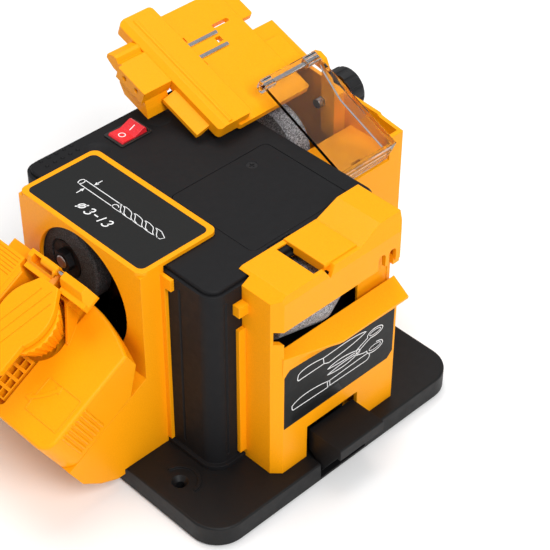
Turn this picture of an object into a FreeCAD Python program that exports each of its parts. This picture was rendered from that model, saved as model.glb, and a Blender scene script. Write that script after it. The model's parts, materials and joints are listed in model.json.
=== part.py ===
import FreeCAD, Part
import math
import os
from FreeCAD import Vector, Placement, Rotation

os.makedirs("parts", exist_ok=True)

# Multi-purpose bench sharpener: drill head on -X, knife and scissor head on -Y, chisel head on +X.
# Sizes in millimetres, +Z up. Z = 0 is the underside of the rubber feet.
# X = 0, Y = 0 of the exported parts is the centre of the bench bolt pattern.

# ---- clearances and stock thicknesses
RUN_FIT = 0.05           # radial clearance of a shaft or pin in its bore
SLIDE_GAP = 0.3          # gap between pieces that slide past each other
WALL = 2.6               # moulded wall
SKIN = 0.8               # depth of the recess that holds a label plate

# ---- base
BASE_X = 200.0
BASE_Y = 216.0
BASE_TOP = 14.7
BASE_UNDER = 1.5         # underside of the skirt above the bench
BASE_CORNER = 19.0
BASE_PLATE = 3.2
BOLT_DX = 170.0
BOLT_Y_FRONT = -62.0
BOLT_Y_REAR = 92.0
BOLT_HOLE_R = 2.6
BOLT_SINK_R = 5.0
FOOT_R = 8.0
FOOT_H = 4.5
FOOT_X = 82.0
FOOT_Y = 78.0

# ---- motor housing
BODY_X0 = -66.0
BODY_X1 = 63.7
BODY_Y0 = -71.0
BODY_Y1 = 90.0
BODY_TOP = 142.7
BODY_CORNER = 10.0
COVER_TOP = 145.3
COVER_INSET = 2.0

# ---- motor and its shaft, along X
AXIS_Y = 36.0
AXIS_Z = 116.0
MOTOR_R = 25.0
MOTOR_X0 = -46.0
MOTOR_X1 = 20.0
SHAFT_R = 4.0
BEARING_R = 9.0
BEARING_W = 5.0
WHEEL_R = 27.0
DRILL_WHEEL_X = -78.4
DRILL_WHEEL_W = 11.4
CHISEL_WHEEL_X = 76.0
CHISEL_WHEEL_W = 14.0
WHEEL_NUT = 3.4

# ---- knife spindle, along X, driven by a flat belt
KNIFE_Y = -75.5
KNIFE_Z = 116.0
KNIFE_SHAFT_R = 3.0
KNIFE_WHEEL_R = 19.5
KNIFE_BEARING_R = 6.5
PULLEY_R = 9.0
PULLEY_X = 29.0
PULLEY_W = 9.0
BELT_W = 6.0
BELT_T = 1.4

# ---- side modules (drill and chisel) share their place along Y
SIDE_Y0 = -33.5
SIDE_Y1 = 70.4
SIDE_YC = 0.5 * (SIDE_Y0 + SIDE_Y1)
DRILL_FACE_X = -82.0
DRILL_TOP = 148.0
DRILL_PLATE_T = 2.4
DRILL_PLATE_X1 = -26.0
PORT_R = 37.5
PORT_Z = 107.4
DRILL_FLOOR = 15.0

# ---- swivel head, tilted about Y
HEAD_TILT = 30.05
HEAD_X = -94.9
HEAD_Z = 99.2
HEAD_T = 28.4
HEAD_LOW = -68.4
HEAD_HALF = 51.9
HEAD_CROWN = 12.9
PIVOT_A = -18.5
PIVOT_R = 6.0
WELL_R = 15.0
WELL_C = -6.0
CHANNEL_HALF = 8.4
CHANNEL_A = -63.0        # lower end of the channel under the grip
CHANNEL_C = -9.0
DECK_A = 8.3             # upper edge of the raised deck
DECK_B = 23.5            # its inner wall
DECK_C = 21.4
COLUMN_A = (2.6, 12.2)   # hollow column that carries the jaws
COLUMN_B = 10.6
COLUMN_C = 16.0
FIN_T = 2.2
CLAMP_LOW_C = 2.3        # clamp wheel: a cone that widens upwards
CLAMP_TOP_C = 21.9
CLAMP_LOW_R = 13.6
CLAMP_TOP_R = 20.5
KNURL_TEETH = 28
KNURL_CUT_R = 1.5
GRIP_C = (22.3, 26.0)    # underside and top of the wing grip
GRIP_A = (-52.0, 5.5)
SCROLL_R = 8.0
SCROLL_PITCH = 12.0      # radial advance of the scroll for one full turn
SCROLL_SPAN = 80.0       # half the angle over which the scroll is cut
SCROLL_DEPTH = 2.6
SCROLL_PIN_R = 1.3
TRACK_C = -2.2           # floor of the track for the jaws' feet
TRACK_HALF = 12.6
JAW_GAP = 2.6            # half the rest opening between the jaws
JAW_A = (4.5, 15.2)
JAW_B = 25.7
JAW_LEDGE_A = 7.4
JAW_LEDGE_C = 21.6
JAW_TOP_C = 25.0
GUIDE_PIN = (13.2, 22.8)
GUIDE_PIN_R = 1.2

# ---- knife module
KNIFE_X0 = -44.4
KNIFE_X1 = 52.6
KNIFE_Y0 = -98.1
KNIFE_Y1 = -71.2
KNIFE_CHAMFER = 5.2
SLOT_LOW = 114.0
SLOT_TOP = 122.8
KNIFE_TOP = 146.8
RAMP_TOP = 153.6
GAP_X0 = -14.0
GAP_X1 = -6.0
FLANGE_Y = -105.0
FLANGE_Z = 97.5
BELT_GUARD_X = 26.6

# ---- chisel module
CHISEL_X0 = 64.0
CHISEL_X1 = 123.2
CHISEL_FLOOR = 15.0
SHELF_Z = 123.9
SHELF_Y = 7.0
GUIDE_TILT = 20.0
GUIDE_Y = 29.9
GUIDE_Z = 153.7
GUARD_TILT = 24.8
GUARD_X0 = 65.3
GUARD_X1 = 110.5
GUARD_T = 2.4
GUARD_LOW_Y = -38.8
GUARD_LOW_Z = 138.7
GUARD_LEN = 75.6
GUARD_PIN_R = 1.5
KNOB_R = 14.0
KNOB_Y = 22.5
KNOB_Z = 138.5
KNOB_X = 124.4

# ---- release latch of the knife module
LATCH_X0 = -17.0
LATCH_X1 = 18.0
LATCH_PIN_Y = -86.0
LATCH_PIN_Z = 24.0
LATCH_PIN_R = 1.5
LATCH_TOE_Y = -105.5
LATCH_TOE_Z = 4.9

# ---- rocker switch
ROCKER_X = -1.0
ROCKER_Y = 71.0
ROCKER_L = 18.4
ROCKER_W = 13.0
ROCKER_TILT = 10.0

ORIGIN_Y = 0.5 * (BOLT_Y_FRONT + BOLT_Y_REAR)

X_DIR = Vector(1, 0, 0)
Y_DIR = Vector(0, 1, 0)
Z_DIR = Vector(0, 0, 1)


# ---------------------------------------------------------------- helpers
def box(x0, x1, y0, y1, z0, z1):
    return Part.makeBox(x1 - x0, y1 - y0, z1 - z0, Vector(x0, y0, z0))


def cyl_x(r, x0, x1, y, z):
    return Part.makeCylinder(r, x1 - x0, Vector(x0, y, z), X_DIR)


def cyl_y(r, y0, y1, x, z):
    return Part.makeCylinder(r, y1 - y0, Vector(x, y0, z), Y_DIR)


def cyl_z(r, z0, z1, x, y):
    return Part.makeCylinder(r, z1 - z0, Vector(x, y, z0), Z_DIR)


def face_of(points):
    return Part.Face(Part.makePolygon(list(points) + [points[0]]))


def along_x(profile, x0, x1):
    """Extrudes a list of (y, z) from x0 to x1."""
    return face_of([Vector(x0, y, z) for y, z in profile]).extrude(Vector(x1 - x0, 0, 0))


def along_y(profile, y0, y1):
    """Extrudes a list of (x, z) from y0 to y1."""
    return face_of([Vector(x, y0, z) for x, z in profile]).extrude(Vector(0, y1 - y0, 0))


def along_z(profile, z0, z1):
    """Extrudes a list of (x, y) from z0 to z1."""
    return face_of([Vector(x, y, z0) for x, y in profile]).extrude(Vector(0, 0, z1 - z0))


def round_edges(shape, radius, wanted):
    """Fillets the edges for which wanted(edge) is true."""
    edges = [e for e in shape.Edges if wanted(e)]
    return shape.makeFillet(radius, edges) if edges else shape


def is_upright(edge):
    a, b = edge.Vertexes[0].Point, edge.Vertexes[-1].Point
    return abs(a.x - b.x) < 1e-6 and abs(a.y - b.y) < 1e-6 and abs(a.z - b.z) > 1e-6


def rounded_box(x0, x1, y0, y1, z0, z1, r):
    return round_edges(box(x0, x1, y0, y1, z0, z1), r, is_upright)


def wheel_profile(points, y, z):
    """Revolves a list of (x, radius) about an X axis through y, z."""
    pts = [Vector(x, y + r, z) for x, r in points]
    return face_of(pts).revolve(Vector(0, y, z), X_DIR, 360)


def join(first, *others):
    return first.fuse(list(others)).removeSplitter()


def less(first, *others):
    return first.cut(list(others))


def in_head(shape):
    """From the swivel head's own frame (x up the slope, z off its face) to the machine's."""
    moved = shape.copy()
    place = Placement(Vector(HEAD_X, SIDE_YC, HEAD_Z), Rotation(Y_DIR, -HEAD_TILT))
    moved.Placement = place.multiply(moved.Placement)
    return moved


def in_guide(shape):
    """From the chisel guide's frame (y up the slope, z off its face) to the machine's."""
    moved = shape.copy()
    place = Placement(Vector(0, GUIDE_Y, GUIDE_Z), Rotation(X_DIR, GUIDE_TILT))
    moved.Placement = place.multiply(moved.Placement)
    return moved


def in_guard(shape):
    """From the guard's frame (y up the slope from its low edge) to the machine's."""
    moved = shape.copy()
    place = Placement(Vector(0, GUARD_LOW_Y, GUARD_LOW_Z), Rotation(X_DIR, GUARD_TILT))
    moved.Placement = place.multiply(moved.Placement)
    return moved


# ---------------------------------------------------------------- base
def base_plate():
    hx, hy = BASE_X / 2, BASE_Y / 2
    outer = rounded_box(-hx, hx, -hy, hy, BASE_UNDER, BASE_TOP, BASE_CORNER)
    top_edges = [e for e in outer.Edges if abs(e.BoundBox.ZMin - BASE_TOP) < 1e-6]
    outer = outer.makeFillet(1.2, top_edges)
    inner = rounded_box(-hx + WALL, hx - WALL, -hy + WALL, hy - WALL,
                        BASE_UNDER - 1, BASE_TOP - BASE_PLATE, BASE_CORNER - WALL)
    tray = outer.cut(inner)
    adds = []
    cuts = []
    for sx in (-1, 1):
        for sy in (-1, 1):
            adds.append(cyl_z(FOOT_R + 2.5, BASE_UNDER, BASE_TOP - 1, sx * FOOT_X, sy * FOOT_Y))
            cuts.append(cyl_z(FOOT_R + RUN_FIT, 0, FOOT_H, sx * FOOT_X, sy * FOOT_Y))
        for y in (BOLT_Y_FRONT, BOLT_Y_REAR):
            x = sx * BOLT_DX / 2
            adds.append(cyl_z(BOLT_SINK_R + 1.4, 0, BASE_TOP - 1, x, y))
            cuts.append(cyl_z(BOLT_HOLE_R, -1, BASE_TOP + 1, x, y))
            cuts.append(Part.makeCone(BOLT_HOLE_R, BOLT_SINK_R, 2.8, Vector(x, y, BASE_TOP - 2.8)))
            cuts.append(cyl_z(BOLT_SINK_R, BASE_TOP, BASE_TOP + 3, x, y))
    for x in (-50, 0, 50):
        adds.append(box(x - 1.1, x + 1.1, -hy + 1, hy - 1, BASE_TOP - 8, BASE_TOP - 1))
    for y in (-45, 10, 60):
        adds.append(box(-hx + 1, hx - 1, y - 1.1, y + 1.1, BASE_TOP - 8, BASE_TOP - 1))
    # raised arc round the screw hole in front of the column, and the ring the housing stands in
    arc = cyl_z(12.0, BASE_TOP - 1, BASE_TOP + 1.2, -BOLT_DX / 2, BOLT_Y_FRONT)
    arc = less(arc, cyl_z(10.2, 0, 30, -BOLT_DX / 2, BOLT_Y_FRONT),
               box(-110, -BOLT_DX / 2 + 1, -90, -30, 0, 30))
    adds.append(arc)
    tray = join(tray, *adds)
    # grip grooves down the skirt, and the bay in which the release latch moves
    cuts.append(rounded_box(LATCH_X0 - 1, LATCH_X1 + 1, -hy - 5, LATCH_PIN_Y + 8,
                            BASE_TOP - 2.2, BASE_TOP + 5, 1.0))
    bay_y = LATCH_TOE_Y + 5.0
    tray = join(tray, box(LATCH_X0 - 3.4, LATCH_X1 + 3.4, -hy + 1, bay_y + 2.4, BASE_UNDER, BASE_TOP - 1))
    cuts.append(box(LATCH_X0 - 1, LATCH_X1 + 1, -hy - 5, bay_y, 3.0, BASE_TOP + 5))
    return less(tray, *cuts)


def rubber_feet():
    feet = []
    for sx in (-1, 1):
        for sy in (-1, 1):
            foot = cyl_z(FOOT_R, 0, FOOT_H, sx * FOOT_X, sy * FOOT_Y)
            low = [e for e in foot.Edges if e.BoundBox.ZMax < 0.1]
            foot = foot.makeFillet(0.8, low)
            feet.append(foot)
    return Part.makeCompound(feet)


# ---------------------------------------------------------------- motor housing
def body_shell():
    outer = rounded_box(BODY_X0, BODY_X1, BODY_Y0, BODY_Y1, BASE_TOP, BODY_TOP, BODY_CORNER)
    inner = rounded_box(BODY_X0 + WALL, BODY_X1 - WALL, BODY_Y0 + WALL, BODY_Y1 - WALL,
                        BASE_TOP - 1, BODY_TOP + 1, BODY_CORNER - WALL)
    shell = outer.cut(inner)
    # turned-out foot that seats on the base, with a coved upper edge
    foot = rounded_box(BODY_X0 - 2.4, BODY_X1, BODY_Y0 - 2.4, BODY_Y1 + 2.4,
                       BASE_TOP, BASE_TOP + 3.0, BODY_CORNER + 2)
    foot = less(foot, inner, box(BODY_X0 - 9, BODY_X0, SIDE_Y0 - 0.4, SIDE_Y1 + 0.4, 0, 40),
                box(KNIFE_X0 - 0.4, KNIFE_X1 + 0.4, BODY_Y0 - 9, BODY_Y0, 0, 40))
    shell = join(shell, foot)
    # ports to the three modules
    ports = [box(BODY_X0 - 5, BODY_X0 + 9, SIDE_Y0 + 5, SIDE_Y1 - 5, 40, 137),
             box(BODY_X1 - 9, BODY_X1 + 5, SIDE_Y0 + 5, SIDE_Y1 - 5, 40, 137),
             box(KNIFE_X0 + 5, KNIFE_X1 - 4, BODY_Y0 - 5, BODY_Y0 + 9, 90, BODY_TOP - 2)]
    # vent slots in the rear wall, and the hole for the cord gland
    for i in range(7):
        x = -36 + 12 * i
        ports.append(rounded_slot_y(x, BODY_Y1 - 9, BODY_Y1 + 9, 58, 96, 2.2))
    ports.append(cyl_y(6.0, BODY_Y1 - 9, BODY_Y1 + 9, 44, 32))
    # two long flutes down the column between the drill and knife modules
    ports.append(cyl_z(1.1, BASE_TOP + 8, BODY_TOP - 6, BODY_X0 - 0.4, -46))
    ports.append(cyl_z(1.1, BASE_TOP + 8, BODY_TOP - 6, -56, BODY_Y0 - 0.4))
    shell = less(shell, *ports)
    # screw towers inside the four corners
    towers = []
    for x in (BODY_X0 + 8, BODY_X1 - 8):
        for y in (BODY_Y0 + 8, BODY_Y1 - 8):
            towers.append(cyl_z(5.0, BASE_TOP, BODY_TOP - 3.4, x, y))
    return join(shell, *towers)


def rounded_slot_y(x, y0, y1, z0, z1, r):
    """A cutter along Y: an upright slot with round ends."""
    return cyl_y(r, y0, y1, x, z0 + r).fuse([cyl_y(r, y0, y1, x, z1 - r),
                                             box(x - r, x + r, y0, y1, z0 + r, z1 - r)])


PANEL = (-23.5, 51.0, -58.0, 9.0)


def top_cover():
    k = COVER_INSET
    plate = rounded_box(BODY_X0 + k, BODY_X1 - 0.4, BODY_Y0 + k, BODY_Y1 - k,
                        BODY_TOP, COVER_TOP, BODY_CORNER - k)
    rim = [e for e in plate.Edges if abs(e.BoundBox.ZMin - COVER_TOP) < 1e-6]
    plate = plate.makeFillet(1.2, rim)
    # locating ridge that drops inside the housing wall
    ridge = rounded_box(BODY_X0 + WALL + 0.2, BODY_X1 - WALL - 0.2, BODY_Y0 + WALL + 0.2,
                        BODY_Y1 - WALL - 0.2, BODY_TOP - 3, BODY_TOP + 0.5, BODY_CORNER - WALL)
    ridge = less(ridge, rounded_box(BODY_X0 + WALL + 2, BODY_X1 - WALL - 2, BODY_Y0 + WALL + 2,
                                    BODY_Y1 - WALL - 2, BODY_TOP - 4, COVER_TOP + 5,
                                    BODY_CORNER - WALL - 2))
    shape = join(plate, ridge)
    cuts = []
    cuts.append(box(ROCKER_X - 10.9, ROCKER_X + 10.9, ROCKER_Y - 7.4, ROCKER_Y + 7.4,
                    BODY_TOP - 5, COVER_TOP + 5))
    x0, x1, y0, y1 = PANEL
    cuts.append(rounded_box(x0 - 0.35, x1 + 0.35, y0 - 0.35, y1 + 0.35,
                            COVER_TOP - 1.4, COVER_TOP + 5, 4))
    # finger scallops at both ends of the switch
    for x in (-24.5, 22.5):
        cuts.append(Part.makeSphere(30.0, Vector(x, ROCKER_Y, COVER_TOP + 28.9)))
    # slit for the knife cover's rear tongue
    cuts.append(box(-16, 2, -61.4, -60.2, COVER_TOP - 0.8, COVER_TOP + 5))
    # room under the drill module's towers at the two corners of the column
    for x in (BODY_X0 + 8, BODY_X1 - 8):
        for y in (BODY_Y0 + 8, BODY_Y1 - 8):
            cuts.append(cyl_z(5.4, BODY_TOP - 9, BODY_TOP, x, y))
    return less(shape, *cuts)


def service_panel():
    x0, x1, y0, y1 = PANEL
    plate = rounded_box(x0, x1, y0, y1, COVER_TOP - 1.4, COVER_TOP, 3.6)
    rim = [e for e in plate.Edges if abs(e.BoundBox.ZMin - COVER_TOP) < 1e-6]
    plate = plate.makeFillet(0.3, rim)
    return less(plate, cyl_z(3.4, COVER_TOP - 1.4, COVER_TOP + 5, 30.3, -1.0))


def panel_screw():
    head = cyl_z(3.4 - RUN_FIT, COVER_TOP - 1.4, COVER_TOP - 0.2, 30.3, -1.0)
    cross = [box(30.3 - 2, 30.3 + 2, -1.35, -0.65, COVER_TOP - 0.9, COVER_TOP + 5),
             box(30.3 - 0.35, 30.3 + 0.35, -3.0, 1.0, COVER_TOP - 0.9, COVER_TOP + 5)]
    return less(head, *cross)


def switch_frame():
    flange = rounded_box(ROCKER_X - 11.8, ROCKER_X + 11.8, ROCKER_Y - 8.4, ROCKER_Y + 8.4,
                         COVER_TOP, COVER_TOP + 1.0, 1.4)
    well = box(ROCKER_X - 10.8, ROCKER_X + 10.8, ROCKER_Y - 7.3, ROCKER_Y + 7.3,
               COVER_TOP - 17, COVER_TOP + 0.5)
    frame = join(flange, well)
    opening = box(ROCKER_X - ROCKER_L / 2 - 0.95, ROCKER_X + ROCKER_L / 2 + 0.95,
                  ROCKER_Y - ROCKER_W / 2 - 0.3, ROCKER_Y + ROCKER_W / 2 + 0.3,
                  COVER_TOP - 8.5, COVER_TOP + 9)
    bore = cyl_y(1.2 + RUN_FIT, ROCKER_Y - 7.2, ROCKER_Y + 7.2, ROCKER_X, COVER_TOP - 1.5)
    frame = less(frame, opening, bore)
    tabs = [box(ROCKER_X + dx - 0.4, ROCKER_X + dx + 0.4, ROCKER_Y - 3, ROCKER_Y + 3,
                COVER_TOP - 24, COVER_TOP - 17) for dx in (-6, 0, 6)]
    return join(frame, *tabs)


def rocker():
    h = COVER_TOP
    half = ROCKER_L / 2
    profile = [(-half + 0.1, h - 4.4), (half - 0.1, h - 4.4), (half, h + 2.4),
               (half - 1.2, h + 3.4), (0, h + 1.6), (-half + 1.2, h + 3.4), (-half, h + 2.4)]
    key = along_y([(ROCKER_X + x, z) for x, z in profile],
                  ROCKER_Y - ROCKER_W / 2, ROCKER_Y + ROCKER_W / 2)
    pins = cyl_y(1.2, ROCKER_Y - 7.1, ROCKER_Y + 7.1, ROCKER_X, h - 1.5)
    key = join(key, pins)
    key.rotate(Vector(ROCKER_X, 0, h - 1.5), Y_DIR, -ROCKER_TILT)
    return key


def cord_gland():
    y = BODY_Y1
    flange = cyl_y(8.5, y, y + 2.0, 44, 32)
    plug = cyl_y(6.0 - RUN_FIT, y - WALL - 3, y + 1, 44, 32)
    sleeve = Part.makeCone(6.2, 4.4, 14.0, Vector(44, y + 1.5, 32), Y_DIR)
    rings = [cyl_y(6.4 - 0.5 * i, y + 3.6 + 3.6 * i, y + 4.8 + 3.6 * i, 44, 32) for i in range(3)]
    return less(join(flange, plug, sleeve, *rings), cyl_y(3.3, y - 9, y + 20, 44, 32))


# ---------------------------------------------------------------- motor
def motor_can():
    can = cyl_x(MOTOR_R, MOTOR_X0, MOTOR_X1, AXIS_Y, AXIS_Z)
    can = less(can, cyl_x(MOTOR_R - 1.6, MOTOR_X0 - 1, MOTOR_X1 + 1, AXIS_Y, AXIS_Z))
    slots = []
    for x in (MOTOR_X0 + 10, MOTOR_X1 - 14):
        slots.append(box(x, x + 4, AXIS_Y - 40, AXIS_Y + 40, AXIS_Z - 5, AXIS_Z + 5))
    return less(can, *slots)


def end_bell(x_wall, x_tip):
    """Pressed end cap with a bearing pot; x_tip is the outer end of the pot."""
    side = 1 if x_tip > x_wall else -1
    x_in = x_wall - side * 4.0
    lo, hi = sorted((x_in, x_wall + side * 2.0))
    cap = cyl_x(MOTOR_R - 1.6, lo, hi, AXIS_Y, AXIS_Z)
    lo2, hi2 = sorted((x_wall, x_tip))
    pot = cyl_x(BEARING_R + 2.0, lo2, hi2, AXIS_Y, AXIS_Z)
    cap = join(cap, pot)
    lo3, hi3 = sorted((x_in - side, x_wall))
    hollow = cyl_x(MOTOR_R - 3.4, lo3, hi3, AXIS_Y, AXIS_Z)
    b0, b1 = sorted((x_tip - side * BEARING_W, x_tip + side))
    seat = cyl_x(BEARING_R, b0, b1, AXIS_Y, AXIS_Z)
    through = cyl_x(SHAFT_R + 1.5, x_in - 30, x_in + 30, AXIS_Y, AXIS_Z)
    return less(cap, hollow, seat, through)


LEFT_TIP = MOTOR_X0 - 8.0
RIGHT_TIP = MOTOR_X1 + 7.4


def motor_end_left():
    return end_bell(MOTOR_X0, LEFT_TIP)


def motor_end_right():
    return end_bell(MOTOR_X1, RIGHT_TIP)


def bearing(x0, x1, r_out, r_in, y, z):
    ring = cyl_x(r_out, x0, x1, y, z)
    ring = less(ring, cyl_x(r_in, x0 - 1, x1 + 1, y, z))
    mid = 0.5 * (r_out + r_in)
    groove = less(cyl_x(mid + 0.8, x1 - 0.6, x1 + 1, y, z), cyl_x(mid - 0.8, x1 - 2, x1 + 2, y, z))
    return less(ring, groove)


def motor_bearings():
    left = bearing(LEFT_TIP, LEFT_TIP + BEARING_W, BEARING_R, SHAFT_R + RUN_FIT, AXIS_Y, AXIS_Z)
    right = bearing(RIGHT_TIP - BEARING_W, RIGHT_TIP, BEARING_R, SHAFT_R + RUN_FIT, AXIS_Y, AXIS_Z)
    return Part.makeCompound([left, right])


def stator():
    ring = cyl_x(MOTOR_R - 1.6, MOTOR_X0 + 16, MOTOR_X1 - 16, AXIS_Y, AXIS_Z)
    ring = less(ring, cyl_x(15.6, MOTOR_X0, MOTOR_X1, AXIS_Y, AXIS_Z))
    gaps = [box(MOTOR_X0, MOTOR_X1, AXIS_Y - 30, AXIS_Y + 30, AXIS_Z - 3, AXIS_Z + 3)]
    gaps[0] = less(gaps[0], less(cyl_x(40, MOTOR_X0, MOTOR_X1, AXIS_Y, AXIS_Z),
                                 cyl_x(20.5, MOTOR_X0 - 1, MOTOR_X1 + 1, AXIS_Y, AXIS_Z)))
    return less(ring, *gaps)


def motor_cradle():
    """Two saddles on a foot plate carry the motor can."""
    parts = [box(MOTOR_X0 + 4, MOTOR_X1 - 4, AXIS_Y - 22, AXIS_Y + 22, BASE_TOP, BASE_TOP + 3)]
    for x in (MOTOR_X0 + 5, MOTOR_X1 - 9):
        profile = [(AXIS_Y - 20, BASE_TOP), (AXIS_Y + 20, BASE_TOP), (AXIS_Y + 20, BASE_TOP + 12),
                   (AXIS_Y + 13, BASE_TOP + 40), (AXIS_Y + 20, AXIS_Z - 12),
                   (AXIS_Y - 20, AXIS_Z - 12), (AXIS_Y - 13, BASE_TOP + 40),
                   (AXIS_Y - 20, BASE_TOP + 12)]
        parts.append(along_x(profile, x, x + 4))
    spine = box(MOTOR_X0 + 5, MOTOR_X1 - 5, AXIS_Y - 2, AXIS_Y + 2, BASE_TOP, AXIS_Z - 20)
    parts.append(spine)
    return less(join(*parts), cyl_x(MOTOR_R, MOTOR_X0 - 5, MOTOR_X1 + 5, AXIS_Y, AXIS_Z))


def rotor_shaft():
    left = DRILL_WHEEL_X - WHEEL_NUT - 0.6
    right = CHISEL_WHEEL_X + CHISEL_WHEEL_W + WHEEL_NUT + 4.0
    shaft = cyl_x(SHAFT_R, left, right, AXIS_Y, AXIS_Z)
    ends = [e for e in shaft.Edges if e.BoundBox.XLength < 0.01]
    return shaft.makeChamfer(0.6, ends)


def rotor_core():
    core = cyl_x(14.6, MOTOR_X0 + 16, MOTOR_X1 - 16, AXIS_Y, AXIS_Z)
    commutator = cyl_x(8.5, MOTOR_X1 - 16.1, MOTOR_X1 - 8, AXIS_Y, AXIS_Z)
    core = join(core, commutator)
    slots = []
    for i in range(12):
        slot = box(MOTOR_X0 + 15, MOTOR_X1 - 16, AXIS_Y - 0.9, AXIS_Y + 0.9, AXIS_Z + 11.5, AXIS_Z + 20)
        slot.rotate(Vector(0, AXIS_Y, AXIS_Z), X_DIR, 30 * i)
        slots.append(slot)
    return less(core, cyl_x(SHAFT_R, -100, 100, AXIS_Y, AXIS_Z), *slots)


def fan():
    x1 = MOTOR_X0 + 10.0
    x0 = x1 - 5.0
    hub = cyl_x(7.0, x0, x1, AXIS_Y, AXIS_Z)
    disc = cyl_x(19.5, x1 - 1.2, x1, AXIS_Y, AXIS_Z)
    blades = []
    for i in range(9):
        blade = box(x0, x1 - 0.6, AXIS_Y - 0.6, AXIS_Y + 0.6, AXIS_Z + 5, AXIS_Z + 19)
        blade.rotate(Vector(0, AXIS_Y, AXIS_Z + 5), X_DIR, 18)
        blade.rotate(Vector(0, AXIS_Y, AXIS_Z), X_DIR, 40 * i)
        blades.append(blade)
    return less(join(hub, disc, *blades), cyl_x(SHAFT_R, -100, 100, AXIS_Y, AXIS_Z))


def grinding_wheel(x0, width):
    wheel = cyl_x(WHEEL_R, x0, x0 + width, AXIS_Y, AXIS_Z)
    wheel = wheel.makeChamfer(1.2, [e for e in wheel.Edges if e.BoundBox.XLength < 0.01])
    dish_a = cyl_x(13.0, x0 - 1, x0 + 2, AXIS_Y, AXIS_Z)
    dish_b = cyl_x(13.0, x0 + width - 2, x0 + width + 1, AXIS_Y, AXIS_Z)
    return less(wheel, dish_a, dish_b, cyl_x(SHAFT_R, -120, 120, AXIS_Y, AXIS_Z))


def drill_wheel():
    return grinding_wheel(DRILL_WHEEL_X, DRILL_WHEEL_W)


def chisel_wheel():
    return grinding_wheel(CHISEL_WHEEL_X, CHISEL_WHEEL_W)


def wheel_clamp(x0, width, nut_side):
    """Washers in both dishes of a wheel, and a hexagon nut on its outer side."""
    a = cyl_x(11.5, x0 + 0.6, x0 + 2.0, AXIS_Y, AXIS_Z)
    b = cyl_x(11.5, x0 + width - 2.0, x0 + width - 0.6, AXIS_Y, AXIS_Z)
    n0 = x0 - WHEEL_NUT if nut_side < 0 else x0 + width - 0.6
    hexagon = [(AXIS_Y + 7 * math.cos(math.radians(60 * i)), AXIS_Z + 7 * math.sin(math.radians(60 * i)))
               for i in range(6)]
    nut = along_x(hexagon, n0, n0 + 4.0)
    whole = Part.makeCompound([join(a, nut) if nut_side < 0 else a, b if nut_side < 0 else join(b, nut)])
    return less(whole, cyl_x(SHAFT_R, -120, 120, AXIS_Y, AXIS_Z))


def drill_wheel_clamp():
    return wheel_clamp(DRILL_WHEEL_X, DRILL_WHEEL_W, -1)


def chisel_wheel_clamp():
    return wheel_clamp(CHISEL_WHEEL_X, CHISEL_WHEEL_W, 1)


# ---------------------------------------------------------------- belt drive to the knife spindle
def pulley(r_bore, y, z):
    x0, x1 = PULLEY_X, PULLEY_X + PULLEY_W
    profile = [(x0, r_bore), (x0, PULLEY_R + 2), (x0 + 1.1, PULLEY_R + 2), (x0 + 1.3, PULLEY_R),
               (x1 - 1.3, PULLEY_R), (x1 - 1.1, PULLEY_R + 2), (x1, PULLEY_R + 2), (x1, r_bore)]
    return wheel_profile(profile, y, z)


def motor_pulley():
    return pulley(SHAFT_R, AXIS_Y, AXIS_Z)


def spindle_pulley():
    return pulley(KNIFE_SHAFT_R, KNIFE_Y, KNIFE_Z)


def drive_belt():
    x0 = PULLEY_X + 0.5 * (PULLEY_W - BELT_W)
    x1 = x0 + BELT_W
    inner_r = PULLEY_R + SLIDE_GAP

    def loop(r):
        ends = [cyl_x(r, x0, x1, AXIS_Y, AXIS_Z), cyl_x(r, x0, x1, KNIFE_Y, KNIFE_Z)]
        return join(box(x0, x1, KNIFE_Y, AXIS_Y, KNIFE_Z - r, KNIFE_Z + r), *ends)

    return less(loop(inner_r + BELT_T), loop(inner_r))


SPINDLE_ARMS = (KNIFE_X0 + 5.4, 20.6)
ARM_T = 5.0


def spindle_bracket():
    """Bent steel cradle on the housing's front wall; its two arms hold the spindle bearings."""
    x0 = SPINDLE_ARMS[0]
    x1 = SPINDLE_ARMS[1] + ARM_T
    back_y = BODY_Y0 + WALL
    back = box(KNIFE_X0 + 1, KNIFE_X1 - 1, back_y, back_y + 2.0, 74, 89.9)
    web = box(x0, x1, back_y, back_y + 2.0, 74, 94)
    arms = []
    for x in SPINDLE_ARMS:
        profile = [(back_y + 2, 74), (back_y + 2, KNIFE_Z + 4), (KNIFE_Y + 5, KNIFE_Z + 9),
                   (KNIFE_Y - 5, KNIFE_Z + 9), (KNIFE_Y - 9, KNIFE_Z + 5), (KNIFE_Y - 9, KNIFE_Z - 6),
                   (back_y - 2.7, 92), (back_y, 90), (back_y, 74)]
        arms.append(along_x(profile, x, x + ARM_T))
    shape = join(back, web, *arms)
    return less(shape, cyl_x(KNIFE_BEARING_R, x0 - 1, x1 + 1, KNIFE_Y, KNIFE_Z))


def spindle_bearings():
    rings = [bearing(x, x + ARM_T, KNIFE_BEARING_R, KNIFE_SHAFT_R + RUN_FIT, KNIFE_Y, KNIFE_Z)
             for x in SPINDLE_ARMS]
    return Part.makeCompound(rings)


def knife_spindle():
    return cyl_x(KNIFE_SHAFT_R, SPINDLE_ARMS[0] - 1.0, PULLEY_X + PULLEY_W + 2, KNIFE_Y, KNIFE_Z)


def knife_wheel():
    x0 = SPINDLE_ARMS[0] + ARM_T + 1.0
    x1 = SPINDLE_ARMS[1] - 1.0
    r = KNIFE_WHEEL_R
    profile = [(x0, KNIFE_SHAFT_R), (x0, r - 5.5), (x0 + 2, r - 5), (-3.0, r), (1.0, r),
               (x1 - 1, r - 7), (x1, r - 8), (x1, KNIFE_SHAFT_R)]
    return wheel_profile(profile, KNIFE_Y, KNIFE_Z)


# ---------------------------------------------------------------- drill module
def on_slope(a, c):
    """Point (x, z) at a up the slope and c off the swivel head's face."""
    t = math.radians(HEAD_TILT)
    return (HEAD_X + a * math.cos(t) - c * math.sin(t), HEAD_Z + a * math.sin(t) + c * math.cos(t))


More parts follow.
